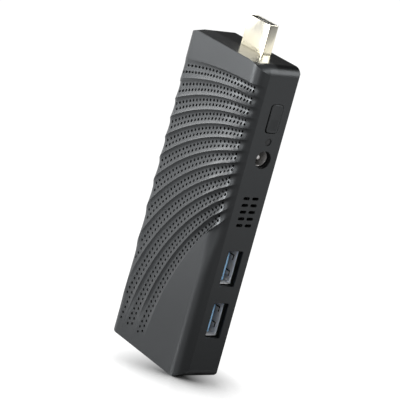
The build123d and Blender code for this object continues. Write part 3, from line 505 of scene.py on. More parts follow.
class BandSheet:
    """Front of one band. Its points are (column, arc number), and columns are counted in holes."""
    LEFT_SPARE, RIGHT_SPARE = 18, 5
    ROWS = (-0.06, 0.0, 0.02, 0.05, 0.09, 0.13, 0.17, 0.24, 0.42, 0.5, 0.58, 0.76, 0.83, 0.89, 0.94,
            0.975, 1.0)
    CELL_ROWS, CELL_EDGE = (6, 9), 0.24

    def __init__(self, band):
        self.band = band
        self.upper, self.lower = band - ROW_OFFSET, band + ROW_OFFSET
        first, last = row_span(band)
        length = arc_of(float(band))[2] * (last - first)
        holes = max(HOLES_LEAST, round(length / sizes().hole_pitch) + 1)
        self.step = (last - first) / (holes - 1)
        spans = [row_span(self.upper), row_span(self.lower)]
        self.first = [span[0] for span in spans]
        self.counts = [int((b - a) / self.step + 0.5) + 1 for a, b in spans]
        self.count = max(self.counts)
        self.points, self.faces = [], []

    def place(self, column, number):
        """Width and height of points on the sheet."""
        share = (number - self.upper) / (self.lower - self.upper)
        angle = self.first[0] + (self.first[1] - self.first[0]) * share + column * self.step
        x, z, radius = arc_of(number)
        return x + radius * np.cos(angle), z + radius * np.sin(angle)

    def build(self):
        """Front points and faces of the band, with a ring of faces round each hole."""
        cells = range(-self.RIGHT_SPARE, self.count + self.LEFT_SPARE)
        columns = [c + edge for c in cells for edge in (-0.5, -self.CELL_EDGE, self.CELL_EDGE)]
        columns.append(self.count + self.LEFT_SPARE - 0.5)
        rows = [self.band - 0.5 + t for t in self.ROWS]
        self.points = [(c, r) for c in columns for r in rows]

        def at(a, b):
            return a * len(rows) + b
        for cell in cells:
            a = (cell + self.RIGHT_SPARE) * 3
            halves = [half for half in (0, 1) if 0 <= cell < self.counts[half]]
            starts = [self.CELL_ROWS[half] for half in halves]
            drilled = [b + i for b in starts for i in range(3)]
            for c in range(a, a + 3):
                for b in range(len(rows) - 1):
                    if b not in drilled:
                        self.faces.append([at(c, b), at(c, b + 1), at(c + 1, b + 1), at(c + 1, b)])
            for half, b in zip(halves, starts):
                self.ring(cell, half, [at(a + i, b + j) for i, j in RIM_WALK])
        return self

    def ring(self, cell, half, walk):
        """Twelve faces between a cell's outline and its round hole."""
        column, number = float(cell), self.lower if half else self.upper
        middle = np.array(self.place(column, number))
        lean = np.stack([np.array(self.place(column + NEAR, number)) - middle,
                         np.array(self.place(column, number + NEAR)) - middle], 1) / NEAR
        outline = np.array([self.place(*self.points[p]) for p in walk]) - middle
        angles = np.unwrap(np.arctan2(outline[:, 1], outline[:, 0]))
        turn = np.sign(angles[-1] - angles[0]) * 2 * math.pi / len(walk) * np.arange(len(walk))
        angles = turn + (angles - turn).mean()
        rim_offsets = sizes().hole_radius * np.stack([np.cos(angles), np.sin(angles)])
        start = len(self.points)
        for dc, dn in np.linalg.solve(lean, rim_offsets).T:
            self.points.append((column + dc, number + dn))
        rim = list(range(start, start + len(walk)))
        for i in range(len(walk)):
            j = (i + 1) % len(walk)
            self.faces.append([walk[i], walk[j], rim[j], rim[i]])


# A cell's outline, in steps of columns and rows
RIM_WALK = ((0, 0), (0, 1), (0, 2), (0, 3), (1, 3), (2, 3), (3, 3), (3, 2), (3, 1), (3, 0), (2, 0),
            (1, 0))


def ease(value, low, high):
    """0 below low, 1 above high and smooth between."""
    t = np.clip((value - low) / (high - low), 0, 1)
    return t * t * (3 - 2 * t)


def relief_share(number, p, z):
    """How much of the relief shows at a place on the sheet: most near the port side's edge."""
    right = (1 + SWELL_SHARE * ease(p, *SWELL)) * (1 - ease(p, *RIGHT_FADE))
    low_band = ease(number, *LOW_BANDS)
    left = LEFT_REST + (1 - LEFT_REST) * ease(p, *LEFT_FADE)
    left = left * (1 - low_band) + low_band * ease(p, *LOW_LEFT_FADE)
    first = FIRST_REST + (1 - FIRST_REST) * ease(p, *FIRST_FADE)
    first = np.where(number < FIRST_BAND_END, first, 1.0)
    foot = np.where(number > LAST_BANDS_START, ease(z, *FOOT_FADE), 1.0)
    return right * left * first * foot


def slab(name, p, z, mark, faces):
    """Closed sheet of even thickness, with hole walls and sides. Each point keeps its mark."""
    used = sorted({i for f in faces for i in f})
    count = len(used)
    keep = {v: i for i, v in enumerate(used)}
    front = [[keep[v] for v in f] for f in faces]
    polygons = front + [[i + count for i in reversed(f)] for f in front]
    edges = {(a, b) for f in front for a, b in zip(f, f[1:] + f[:1])}
    polygons += [[b, a, a + count, b + count] for a, b in edges if (b, a) not in edges]
    verts = [(p[v], y, z[v]) for y in (0.0, GRILLE_DEPTH) for v in used]
    mesh = bpy.data.meshes.new(name)
    mesh.from_pydata(verts, [], polygons)
    marks = mesh.attributes.new("mark", "FLOAT", "POINT")
    marks.data.foreach_set("value", [mark[v] for v in used] * 2)
    return mesh


def scoop(t, p):
    """Depth across a band: a fall below the upper ridge, wider to the right, and a slow rise."""
    low = SCOOP_LOW + SCOOP_EXTRA * ease(p, *SCOOP_SWELL)
    fall = SCOOP_START + (1 - SCOOP_START) * np.sin(np.clip(t / low, 0, 1) * math.pi / 2)
    rise = 1 - np.clip((t - low) / (1 - low), 0, 1) ** 1.8
    return np.where(t < low, fall, rise)


def band_mesh(band):
    """One band, marked with its arc numbers."""
    sheet = BandSheet(band).build()
    column, number = np.array(sheet.points).T
    p, z = sheet.place(column, number)
    return slab(f"band_{band}", p, z, number, sheet.faces)


def band_relief(band):
    """Depth of a band's surface, the arc number's change with width and height, and its limits."""
    def depth(number, p, z):
        t = np.clip(number - (band - 0.5), 0, 1)
        return sizes().relief * scoop(t, p) * relief_share(number, p, z)

    def slopes(number, p, z):
        def off(n):
            x, height, radius = arc_of(n)
            return (p - x) ** 2 + (z - height) ** 2 - radius ** 2
        x, height, radius = arc_of(number)
        rate = (off(number + NEAR) - off(number - NEAR)) / (2 * NEAR)
        return -2 * (p - x) / rate, -2 * (z - height) / rate
    return depth, slopes, (band - 0.5, band + 0.5)


def plain_mesh(name, number, span, angles):
    """A plain stretch of the cover beside an arc, marked with the distance outside it."""
    x, z, radius = arc_of(number)
    angle = np.linspace(*angles, 96)
    a, s = np.meshgrid(angle, span, indexing="ij")
    p = (x + (radius + s) * np.cos(a)).ravel()
    height = (z + (radius + s) * np.sin(a)).ravel()
    rows = len(span)
    faces = []
    for i in range(len(angle) - 1):
        for j in range(rows - 1):
            face = [i * rows + j, i * rows + j + 1, (i + 1) * rows + j + 1, (i + 1) * rows + j]
            faces.append(face if span[1] < span[0] else face[::-1])
    return slab(name, p, height, s.ravel(), faces)


def plain_relief(number, depth, limits):
    """The same for a plain stretch, which is marked with the distance outside its arc."""
    def slopes(s, p, z):
        x, height, radius = arc_of(number)
        reach = np.hypot(p - x, z - height)
        return (p - x) / reach, (z - height) / reach
    return depth, slopes, limits


def head_depth(s, p, z):
    """The top end is plain."""
    return s * 0


def foot_depth(s, p, z):
    """Soft hollow under the last band's right end, fading away from it."""
    start, middle, end = FOOT_HOLLOW
    along = ease(p, start, middle) * (1 - ease(p, middle, end))
    return sizes().relief * FOOT_HOLLOW_SHARE * along * (1 - ease(-s, 0.0, FOOT_HOLLOW_REACH))


def surface_normals(relief, mark, p, z):
    """Directions in which the folded, pressed sheet faces."""
    depth, slopes, (low, high) = relief
    small = 0.02
    mark = np.clip(mark, low + small, high - small)
    across, up = slopes(mark, p, z)

    def spot(dp, dz):
        pressed = depth(mark + across * dp + up * dz, p + dp, z + dz)
        return folded(np.stack([p + dp, pressed, z + dz], 1))
    return unit(np.cross(spot(small, 0) - spot(-small, 0), spot(0, small) - spot(0, -small)))


def unit(vectors):
    """Each row scaled to length one; a row of zeros stays."""
    return vectors / np.maximum(np.linalg.norm(vectors, axis=1, keepdims=True), 1e-12)


def edge_curve():
    """The long edge's eased bend: lengths along it, turn in radians, and its way over and back."""
    full = math.pi / 2 - math.radians(SKIRT_DRAFT)
    share = np.linspace(0, 1, 241)
    turn = full * ease(share, 0, 1)
    step = share[1]
    over, back = [np.concatenate([[0], np.cumsum((part[1:] + part[:-1]) / 2 * step)])
                  for part in (np.cos(turn), np.sin(turn))]
    length = EDGE_LEAD / (over[-1] - back[-1] / math.tan(full))
    return share * length, turn, over * length, back * length


def fold_lengths():
    """Flat half-width, bend's end and parting line, as distances along the sheet."""
    draft = math.radians(SKIRT_DRAFT)
    flat = SIDE_X - SKIRT_DEPTH * math.tan(draft) - EDGE_LEAD
    bend_end = flat + edge_curve()[0][-1]
    return flat, bend_end, bend_end + SKIRT_DEPTH / math.cos(draft) - EDGE_LEAD


def corner_drop(x):
    """How far the rounded outline lies inside the case's end at a distance from its middle."""
    over = np.clip(x - (SIDE_X - CORNER_RADIUS), 0, CORNER_RADIUS)
    return CORNER_RADIUS - np.sqrt(np.maximum(CORNER_RADIUS ** 2 - over * over, 0))


def front_drop(x):
    """The same for the front cover's top end, whose corners start earlier and are softer."""
    over = np.clip((x - (SIDE_X - TOP_CORNER_REACH)) / TOP_CORNER_REACH, 0, 1)
    return CORNER_RADIUS * (1 - np.sqrt(np.maximum(1 - over ** 1.8, 0)))


def folded(flat_points):
    """Sheet points (width, depth, height) as places in space, in millimetres."""
    flat, bend_end, _ = fold_lengths()
    draft = math.radians(SKIRT_DRAFT)
    p, d, z = flat_points.T
    side, q = np.sign(p), np.abs(p)
    along, turns, over, back = edge_curve()
    bent = np.clip(q - flat, 0, along[-1])
    turn = np.interp(bent, along, turns)
    x = np.minimum(q, flat) + np.interp(bent, along, over)
    y = np.interp(bent, along, back) - CASE_THICKNESS / 2
    beyond = np.maximum(q - bend_end, 0)
    x = x + beyond * math.sin(draft)
    y = y + beyond * math.cos(draft)
    near_top = np.clip((z - (CASE_LENGTH - CORNER_FADE)) / CORNER_FADE, 0, 1) ** 2
    near_foot = np.clip((CORNER_FADE - z) / CORNER_FADE, 0, 1) ** 2
    z = z - front_drop(x) * near_top + corner_drop(x) * near_foot
    x = side * (x - np.sin(turn) * d)
    y = y + np.cos(turn) * d
    return np.stack([x, y, z], 1)


def bend_places():
    """Where the sheet is cut for its bend and its skirt, as distances from the middle."""
    flat, bend_end, parting = fold_lengths()
    return np.concatenate([np.linspace(flat, bend_end, 15), np.linspace(bend_end, parting, 7)[1:]])


def cut_sheet(mesh, point, normal, clear):
    """Cuts a flat-sheet mesh by a plane. To clear removes what lies beyond and closes the cut."""
    geometry = mesh.verts[:] + mesh.edges[:] + mesh.faces[:]
    bmesh.ops.bisect_plane(mesh, geom=geometry, dist=1e-6, plane_co=point, plane_no=normal,
                           clear_outer=clear)
    if clear:
        open_edges = [e for e in mesh.edges if e.is_boundary]
        bmesh.ops.holes_fill(mesh, edges=open_edges, sides=0)


def read_back(mesh):
    """Points and outward faces of a closed mesh."""
    bmesh.ops.recalc_face_normals(mesh, faces=mesh.faces)
    mesh.verts.index_update()
    points = np.array([v.co[:] for v in mesh.verts])
    return points, [[v.index for v in f.verts] for f in mesh.faces]


class STICK_OT_front_cover(bpy.types.Operator):
    """Banded, perforated front cover with rounded long edges"""
    bl_idname = "stick.front_cover"
    bl_label = "Front cover"

    def execute(self, context):
        head = plain_mesh("head", -0.5, (0.0, 1.0, 3.0, 6.0, 10.0, 15.0, 21.0),
                          (math.radians(74), math.radians(106)))
        foot = plain_mesh("foot", BANDS - 0.5,
                          (0.25, 0.0, -1.0, -2.0, -3.5, -5.0, -7.0, -9.0, -12.0, -21.0, -32.0),
                          (math.radians(133), math.radians(183)))
        parts = [self.pressed(band_mesh(b), band_relief(b)) for b in range(BANDS)]
        parts.append(self.pressed(head, plain_relief(-0.5, head_depth, (0.0, 21.0))))
        parts.append(self.pressed(foot, plain_relief(BANDS - 0.5, foot_depth, (-32.0, 0.0))))
        parts += [self.end_wall(0.0, 1), self.end_wall(CASE_LENGTH, -1)]
        cover = bpy.data.objects.new("front_cover_banded", self.joined(parts))
        context.collection.objects.link(cover)
        placed(cover, "front_cover_banded", case_finish("satin_case"), "case", "case_plastic",
               "front_cover")
        return {"FINISHED"}

    def pressed(self, sheet, relief):
        """Trims a sheet, presses its relief in and folds it.

        Gives its points, faces and normals, and which faces are smooth front faces.
        """
        parting = fold_lengths()[2]
        mesh = bmesh.new()
        mesh.from_mesh(sheet)
        for point, normal in (((parting, 0, 0), (1, 0, 0)), ((-parting, 0, 0), (-1, 0, 0)),
                              ((0, 0, CASE_LENGTH), (0, 0, 1)), ((0, 0, 0), (0, 0, -1))):
            cut_sheet(mesh, point, normal, True)
        for side in (-1, 1):
            for p in bend_places()[:-1]:
                cut_sheet(mesh, (side * p, 0, 0), (1, 0, 0), False)
        for z in (END_CUT, CORNER_FADE, CASE_LENGTH - CORNER_FADE, CASE_LENGTH - END_CUT):
            cut_sheet(mesh, (0, 0, z), (0, 0, 1), False)
        points, faces = read_back(mesh)
        layer = mesh.verts.layers.float["mark"]
        mark = np.array([v[layer] for v in mesh.verts])
        mesh.free()
        bpy.data.meshes.remove(sheet)
        front = points[:, 1] < GRILLE_DEPTH / 2
        depth, slopes, (low, high) = relief
        p, z = points[:, 0], points[:, 2]
        normals = surface_normals(relief, mark, p, z)
        tuck = (mark < low - 1e-4) if high - low == 1 else (mark > high + NEAR)
        pressed = depth(np.clip(mark, low, high), p, z) + np.where(tuck, LIP, 0.0)
        points[:, 1] = np.where(front, pressed, points[:, 1])
        for end, tilt in ((z < NEAR, -END_TILT), (z > CASE_LENGTH - NEAR, END_TILT)):
            points[:, 1] += np.where(end & front, END_SET_BACK, 0)
            normals[:, 2] += np.where(end, tilt, 0)
        shaded = [all(front[v] for v in f) for f in faces]
        return folded(points), faces, unit(normals), shaded

    def end_wall(self, end, inwards):
        """Wall from the sheet's edge to the parting line, along the outline's rounded corners."""
        bend = bend_places()
        p = np.concatenate([-bend[::-1], np.linspace(-bend[0], bend[0], 9)[1:-1], bend])
        outer = folded(np.stack([p, p * 0 + END_WALL_SUNK, p * 0 + CASE_LENGTH / 2], 1))
        back = p * 0 - CASE_THICKNESS / 2 + SKIRT_DEPTH
        width = np.abs(outer[:, 0])
        rear = corner_drop(width)
        front = front_drop(width) if end else rear
        inner = np.minimum(outer[:, 1] + END_WALL_STEP, back)
        rows = [np.stack([outer[:, 0], y, end + inwards * (lift + END_WALL_INSET)], 1)
                for y, lift in ((outer[:, 1], front), (back, rear), (back, rear + WALL),
                                (inner, front + WALL))]
        count = len(p)
        faces = [[a * count + i, a * count + i + 1, b * count + i + 1, b * count + i]
                 for a, b in ((0, 1), (1, 2), (2, 3), (3, 0)) for i in range(count - 1)]
        faces += [[a * count + i for a in range(4)] for i in (0, count - 1)]
        points = np.concatenate(rows)
        mesh = bmesh.new()
        for point in points:
            mesh.verts.new(point)
        mesh.verts.ensure_lookup_table()
        for f in faces:
            mesh.faces.new([mesh.verts[i] for i in f])
        _, faces = read_back(mesh)
        mesh.free()
        return points, faces, points * 0, [False] * len(faces)

    def joined(self, parts):
        """One mesh of all parts, with the worked-out normals on the faces that show."""
        points, face_lists, normals, shaded = zip(*parts)
        faces, start = [], 0
        for part_points, part_faces in zip(points, face_lists):
            faces += [[v + start for v in f] for f in part_faces]
            start += len(part_points)
        mesh = bpy.data.meshes.new("front_cover_banded")
        mesh.from_pydata([tuple(v) for v in np.concatenate(points) * MM], [], faces)
        count = len(mesh.polygons)
        corner = np.zeros(len(mesh.loops), dtype=int)
        mesh.loops.foreach_get("vertex_index", corner)
        total = np.zeros(count, dtype=int)
        mesh.polygons.foreach_get("loop_total", total)
        flat_normals = np.zeros(count * 3)
        mesh.polygons.foreach_get("normal", flat_normals)
        owner = np.repeat(np.arange(count), total)
        use = np.concatenate(shaded)[owner][:, None]
        chosen = np.where(use, np.concatenate(normals)[corner], flat_normals.reshape(-1, 3)[owner])
        mesh.polygons.foreach_set("use_smooth", [True] * count)
        mesh.normals_split_custom_set([tuple(n) for n in chosen])
        return mesh


# Other pieces, and the finishes of the CAD nodes

class STICK_OT_housing(bpy.types.Operator):
    """Finishes of the rear housing and of all screws"""
    bl_idname = "stick.housing"
    bl_label = "Rear housing"

    def execute(self, context):
        dress(case_finish("satin_case_back"), "rear_housing")
        for name, colour, roughness, node in (
                ("black_screws", (0.10, 0.10, 0.11), 0.35, "case_screws"),
                ("zinc_screws", (0.55, 0.55, 0.53), 0.3, "board_screws"),
                ("zinc_sink_screws", (0.55, 0.55, 0.53), 0.3, "sink_screws"),
                ("zinc_fan_screws", (0.50, 0.50, 0.50), 0.3, "fan_screws")):
            dress(plated(name, colour, roughness), node)
        return {"FINISHED"}


class STICK_OT_button(bpy.types.Operator):
    """Power button with softened edges and a matt finger pad, and the smoked light window"""
    bl_idname = "stick.button"
    bl_label = "Button and light"

    def execute(self, context):
        self.button()
        self.window()
        dress(moulded("light_source", (0.6, 0.6, 0.55), 0.3), "power_light")
        dress(moulded("switch_black", (0.02, 0.02, 0.02), 0.4), "switch_body")
        dress(moulded("switch_white", (0.6, 0.58, 0.5), 0.4), "switch_plunger")
        return {"FINISHED"}

    def button(self):
        """Cap, flange behind the wall and post, sized to leave its gap on the front side."""
        cap = block((21.8, SIDE_X), (BUTTON_Y - CAP_FRONT, BUTTON_Y + CAP_BACK),
                    around(BUTTON_Z, CAP_HALF_HEIGHT))
        soften(cap, 1.2, 8, runs_along("x"))
        soften(cap, 0.22, 4, lies_past("x", SIDE_X - NEAR))
        select(cap, "FACE", lambda middle, normal: normal.x > 0.99)
        bpy.ops.mesh.inset(thickness=0.5 * MM)
        bpy.ops.transform.translate(value=(-0.05 * MM, 0, 0))
        set_mode("OBJECT")
        flange = block(FLANGE_X, around(BUTTON_Y, FLANGE_HALF_DEPTH),
                       around(BUTTON_Z, FLANGE_HALF_HEIGHT))
        combine(cap, soften(flange, 1.3, 6, runs_along("x")), "UNION")
        combine(cap, drum(POST_RADIUS, POST_X, POST_Y, BUTTON_Z, 32), "UNION")
        placed(smooth(cap), "power_button_soft", case_finish("button_case", True), "button",
               "button_plastic", "power_button")

    def window(self):
        """Light pipe with its face just inside the wall."""
        pipe = drum(PIPE_RADIUS, PIPE_X, LIGHT_Y, LIGHT_Z)
        soften(pipe, 0.1, 3, lies_past("x", 23.1))
        for radius, limits in PIPE_STEPS:
            combine(pipe, drum(radius, limits, LIGHT_Y, LIGHT_Z), "UNION")
        finish = moulded("smoked_window", tuple(c * 0.8 for c in colours().case), roughness=0.34,
                         grain_mm=2.0, grain_depth=0.0)
        placed(smooth(pipe), "light_pipe_smoked", finish, "case", "clear_plastic", "light_pipe")


class STICK_OT_plug(bpy.types.Operator):
    """Plug with a rolled, seamed shell, a slotted insulator and two rows of contacts"""
    bl_idname = "stick.plug"
    bl_label = "Plug"

    def execute(self, context):
        self.shell()
        self.core()
        self.contacts()
        return {"FINISHED"}

    def bar(self, inside, z, corner):
        """Rounded bar of the plug's outline, smaller by a distance all round."""
        bar = block(around(PLUG_X, PLUG_WIDTH / 2 - inside),
                    around(PLUG_Y, PLUG_DEPTH / 2 - inside), z)
        return soften(bar, corner, 6, runs_along("z"))

    def shell(self):
        """Rolled tube with a seam at the back and an ear on each side."""
        tube = self.bar(0.0, (PLUG_ROOT_Z, PLUG_TIP_Z), PLUG_CORNER)
        hollow(tube, "z", PLUG_SHEET, PLUG_TIP_Z, 0.11)
        back = PLUG_Y + PLUG_DEPTH / 2
        combine(tube, block(around(PLUG_X, 0.06), (back - 0.09, back + 0.2),
                            (PLUG_ROOT_Z - 1, PLUG_TIP_Z + 1)))
        for side in (-1, 1):
            ends = [PLUG_X + side * (PLUG_WIDTH / 2 + reach) for reach in (-0.15, 2.4)]
            ear = block(sorted(ends), (5.045, 5.345), (PLUG_ROOT_Z + 1.5, PLUG_ROOT_Z + 6))
            combine(tube, rounded(ear, 0.08), "UNION")
        placed(smooth(tube, 40), "plug_shell_rolled", self.gold(), "case", "gold_plate",
               "plug_shell")

    def gold(self):
        """Thin gold over nickel: paler towards the tip, with faint wipe marks along the plug."""
        f = Finish("pale_gold", tuple(colours().plug), metallic=1.0, roughness=0.13)
        outside = f.ramp(f.axis("Z"), CASE_LENGTH - 0.5, PLUG_TIP_Z - 3)
        f.blend(outside, f.colour, [c ** 0.5 * 0.95 for c in f.colour])
        f.vary_roughness(f.noise(1.6, stretch=(1, 1, 0.3)), 0.12, 0.15)
        return f.material

    def core(self):
        """Black insulator with its slot, just below the shell's rim."""
        top = PLUG_TIP_Z - 0.14
        core = self.bar(PLUG_SHEET + 0.01, (PLUG_ROOT_Z, top), PLUG_CORNER - PLUG_SHEET)
        slot = block(around(PLUG_X, SLOT_HALF_WIDTH), around(PLUG_Y, SLOT_HALF_DEPTH),
                     (top - SLOT_REACH, top + 1))
        combine(core, soften(slot, 0.25, 3, runs_along("z")))
        rounded(core, 0.06, 50)
        finish = moulded("plug_black", (0.008, 0.008, 0.009), 0.45, specular=0.25)
        placed(smooth(core, 40), "plug_core_slotted", finish, "case", "black_plastic", "plug_core")

    def contacts(self):
        """Ten contacts on the slot's back wall and nine, half a pitch on, on its front wall."""
        strips = []
        for side, count in ((1, 10), (-1, 9)):
            wall = PLUG_Y + side * SLOT_HALF_DEPTH
            thickness = sorted((wall - side * CONTACT_RISE, wall + side * CONTACT_SUNK))
            for k in range(count):
                x = PLUG_X + (k - (count - 1) / 2)
                strip = block(around(x, CONTACT_HALF_WIDTH), thickness,
                              (PLUG_ROOT_Z - 1.4, PLUG_TIP_Z - 0.42))
                strips.append(soften(strip, 0.05, 2, lambda a, b: (a.z + b.z) / 2 > PLUG_TIP_Z - 1))
        clear_selection()
        for strip in strips:
            strip.select_set(True)
        bpy.context.view_layer.objects.active = strips[0]
        bpy.ops.object.join()
        finish = plated("contact_gold", (0.93, 0.90, 0.80), 0.25)
        placed(smooth(strips[0], 32), "plug_contact_rows", finish, "case", "contact_gold",
               "plug_contacts")


class STICK_OT_sockets(bpy.types.Operator):
    """Two sockets, each a flared shell with sprung windows round a blue tongue"""
    bl_idname = "stick.sockets"
    bl_label = "Sockets"

    def execute(self, context):
        tin = satin_metal("socket_tin", (0.72, 0.73, 0.74), 0.38)
        gold = plated("socket_gold", (0.83, 0.62, 0.30), 0.2)
        blue = self.blue()
        for which, height in SOCKET_HEIGHTS.items():
            placed(self.shell(height), which + "_usb_shell_flared", tin, "case", "nickel",
                   which + "_usb_shell")
            placed(self.tongue(height), which + "_usb_tongue", blue, "case", "blue_plastic",
                   which + "_usb_core")
            dress(gold, which + "_usb_contacts")
        return {"FINISHED"}

    def blue(self):
        """Blue insulator with a painted highlight: paler at the tongue's tip and darker behind it.
        """
        f = Finish("socket_blue", tuple(colours().tongue), roughness=0.32, specular=0.5)
        # Painted highlight: the tip's paler blue stands in for the light on the tongue's lit tip.
        tip = f.ramp(f.axis("X"), PORT_MOUTH_X - 1.1, PORT_MOUTH_X - 0.6)
        f.blend(tip, [c * 0.8 for c in f.colour], [c ** 0.5 for c in f.colour])
        f.bump(f.noise(0.5), 0.003)
        return f.material

    def shell(self, height):
        """Tin box with a flared mouth, two windows in each broad wall and a finger in each."""
        box = block(behind_mouth(SOCKET_LENGTH), around(SOCKET_Y, SOCKET_DEPTH / 2),
                    around(height, SOCKET_HEIGHT / 2))
        soften(box, 0.5, 4, runs_along("x", 1))
        select(box, "FACE", lambda middle, normal: normal.x > 0.9)
        bpy.ops.mesh.inset(thickness=SOCKET_SHEET * MM)
        inwards = ((SOCKET_SHEET - SOCKET_LENGTH) * MM, 0, 0)
        bpy.ops.mesh.extrude_region_move(TRANSFORM_OT_translate={"value": inwards})
        for back in FLARE_CUTS:
            bpy.ops.mesh.select_all(action="SELECT")
            bpy.ops.mesh.bisect(plane_co=((PORT_MOUTH_X - back) * MM, 0, 0), plane_no=(1, 0, 0))
        set_mode("OBJECT")
        for v in box.data.vertices:
            flare = FLARE_RATE * max(0, v.co.x / MM - PORT_MOUTH_X + FLARE_CUTS[0]) ** 1.5
            v.co.y += flare * MM * (1 if v.co.y / MM > SOCKET_Y else -1)
            v.co.z += flare * MM * (1 if v.co.z / MM > height else -1)
        for offset in WINDOW_OFFSETS:
            combine(box, block(behind_mouth(*WINDOW_ENDS), around(SOCKET_Y, 4),
                               around(height + offset, WINDOW_HALF_HEIGHT)))
        combine(box, block(behind_mouth(*TAILS_ENDS), (SOCKET_Y, SOCKET_Y + 4),
                           around(height, TAILS_HALF_HEIGHT)))
        for side in (-1, 1):
            wall = SOCKET_Y + side * (SOCKET_DEPTH / 2 - SOCKET_SHEET / 2)
            for offset in WINDOW_OFFSETS:
                combine(box, self.finger(wall, side, height + offset), "UNION")
        return smooth(box)

    def finger(self, wall, side, height):
        """Spring finger from a window's inner end, bowed towards the tongue."""
        root, tip = behind_mouth(*FINGER_ENDS)
        finger = block((root, tip), around(wall, 0.12), around(height, FINGER_HALF_HEIGHT))
        select(finger, "EDGE", runs_along("x", 1))
        bpy.ops.mesh.subdivide(number_cuts=7)
        set_mode("OBJECT")
        for v in finger.data.vertices:
            share = (v.co.x / MM - root) / (tip - root)
            v.co.y -= side * FINGER_BOW * math.sin(min(1, share * 1.15) * math.pi * 0.72) * MM
        return finger

    def tongue(self, height):
        """Tongue with a softened tip on the block that fills the back of the shell."""
        low = SOCKET_Y - SOCKET_DEPTH / 2 + 0.7
        tongue = block(behind_mouth(*TONGUE_ENDS), (low, low + TONGUE_THICKNESS),
                       around(height, TONGUE_HALF_HEIGHT))
        soften(tongue, 0.3, 3, lies_past("x", PORT_MOUTH_X - 0.6))
        back = block(behind_mouth(*CORE_ENDS), around(SOCKET_Y, CORE_HALF_DEPTH),
                     around(height, CORE_HALF_HEIGHT))
        combine(tongue, rounded(back, 0.2), "UNION")
        return smooth(tongue)


class STICK_OT_jack(bpy.types.Operator):
    """Power jack: black body, rolled sleeve and a centre pin with a domed tip"""
    bl_idname = "stick.jack"
    bl_label = "Power jack"

    def execute(self, context):
        dress(moulded("jack_black", (0.014, 0.014, 0.015), 0.4), "jack_housing")
        self.sleeve()
        self.pin()
        return {"FINISHED"}

    def sleeve(self):
        tube = drum(JACK_RADIUS, behind_mouth(JACK_LENGTH), JACK_Y, JACK_Z, 72)
        hollow(tube, "x", JACK_SHEET, PORT_MOUTH_X, 0.1)
        finish = satin_metal("jack_nickel", (0.42, 0.41, 0.40), 0.3)
        placed(smooth(tube, 40), "jack_sleeve_rolled", finish, "case", "nickel", "jack_sleeve")

    def pin(self):
        pin = drum(PIN_RADIUS, behind_mouth(*PIN_ENDS), JACK_Y, JACK_Z)
        soften(pin, 0.5, 6, lies_past("x", behind_mouth(*PIN_ENDS)[1] - NEAR))
        # Painted highlight: the pin is near white, standing in for the bright glint on its tip.
        finish = satin_metal("pin_nickel", (0.92, 0.91, 0.90), 0.3)
        placed(smooth(pin, 50), "jack_pin_domed", finish, "case", "nickel", "jack_pin")


class STICK_OT_electronics(bpy.types.Operator):
    """Finishes of the boards, chips, cell, aerials and leads inside"""
    bl_idname = "stick.electronics"
    bl_label = "Electronics"

    def execute(self, context):
        dress(board_finish("solder_mask", tuple(colours().board)),
              "main_board", "wireless_board", "fan_driver_board")
        dress(chip_finish("epoxy", (0.022, 0.022, 0.024)), "processor", "memory_chips",
              "storage_chip", "power_chip", "usb_hub_chip", "flash_chip", "wireless_chip")
        dress(plated("tinned_cans", (0.60, 0.60, 0.58), 0.3),
              "timing_crystal", "tank_capacitors", "wireless_shield", "fan_lid")
        dress(chip_finish("pressed_iron", (0.14, 0.14, 0.15), 0.6), "power_inductors")
        dress(chip_finish("ceramic", (0.40, 0.28, 0.17), 0.5), "small_components")
        dress(moulded("cell_wrap", (0.65, 0.55, 0.08), 0.35), "clock_cell")
        dress(plated("coax_gold", (0.85, 0.66, 0.35), 0.2), "coax_plugs")
        dress(moulded("aerial_film", (0.06, 0.045, 0.03), 0.3), "main_aerial")
        dress(moulded("second_aerial_film", (0.06, 0.045, 0.03), 0.3), "second_aerial")
        dress(rubbery("black_jacket", (0.02, 0.02, 0.02)), "main_aerial_lead")
        dress(rubbery("grey_jacket", (0.30, 0.30, 0.31)), "second_aerial_lead")
        return {"FINISHED"}


class STICK_OT_cooling(bpy.types.Operator):
    """Finishes of the blower, its plug and socket, and the heat sink"""
    bl_idname = "stick.cooling"
    bl_label = "Cooling"

    def execute(self, context):
        # Painted shade: the heat sink is near black, so that it shows only as shade through the
        # grille's holes.
        dress(plated("black_anodised", (0.045, 0.045, 0.05), 0.4, (0.1, 1, 1)), "heat_sink")
        dress(rubbery("silicone_pad", (0.35, 0.42, 0.55)), "thermal_pad")
        dress(moulded("fan_black", (0.025, 0.025, 0.027), 0.5), "fan_housing", "fan_rotor")
        dress(chip_finish("ferrite", (0.06, 0.06, 0.065), 0.5), "fan_magnet")
        dress(plated("ground_steel", (0.6, 0.6, 0.61), 0.15), "fan_shaft")
        dress(plated("sintered_bronze", (0.55, 0.38, 0.2), 0.4), "fan_bearing")
        dress(plated("stamped_iron", (0.35, 0.35, 0.36), 0.4), "stator_core")
        dress(plated("enamelled_copper", (0.70, 0.30, 0.14), 0.3, (1, 6, 1), 0.02), "stator_coils")
        dress(rubbery("red_insulation", (0.45, 0.03, 0.02)), "fan_wires")
        dress(moulded("cream_nylon", (0.70, 0.68, 0.60), 0.45), "fan_plug", "fan_socket")
        return {"FINISHED"}


# Stage

CAMERA_AIM = (-1.0625, -0.8351, 63.0462)
CAMERA_AZIMUTH, CAMERA_ELEVATION, CAMERA_ROLL = 50.7657, 15.7367, 15.2104
CAMERA_DISTANCE = 821.29
CAMERA_LENS = 195.251

# Name, azimuth, elevation, distance, size, power and the height that it points at
SOFTBOXES = (
    ("front_left", -20, 10, 280, 200, 2.1, 115),
    ("front_high", -20, 30, 280, 200, 0.3, 115),
    ("front_right", 40, 10, 280, 200, 0.38, 115),
    ("far_left", -80, 20, 500, 260, 1.2, 62),
    ("left_high", -60, 20, 500, 260, 0.32, 62),
    ("back_rim", 138, 34, 500, 350, 2.2, 110),
)
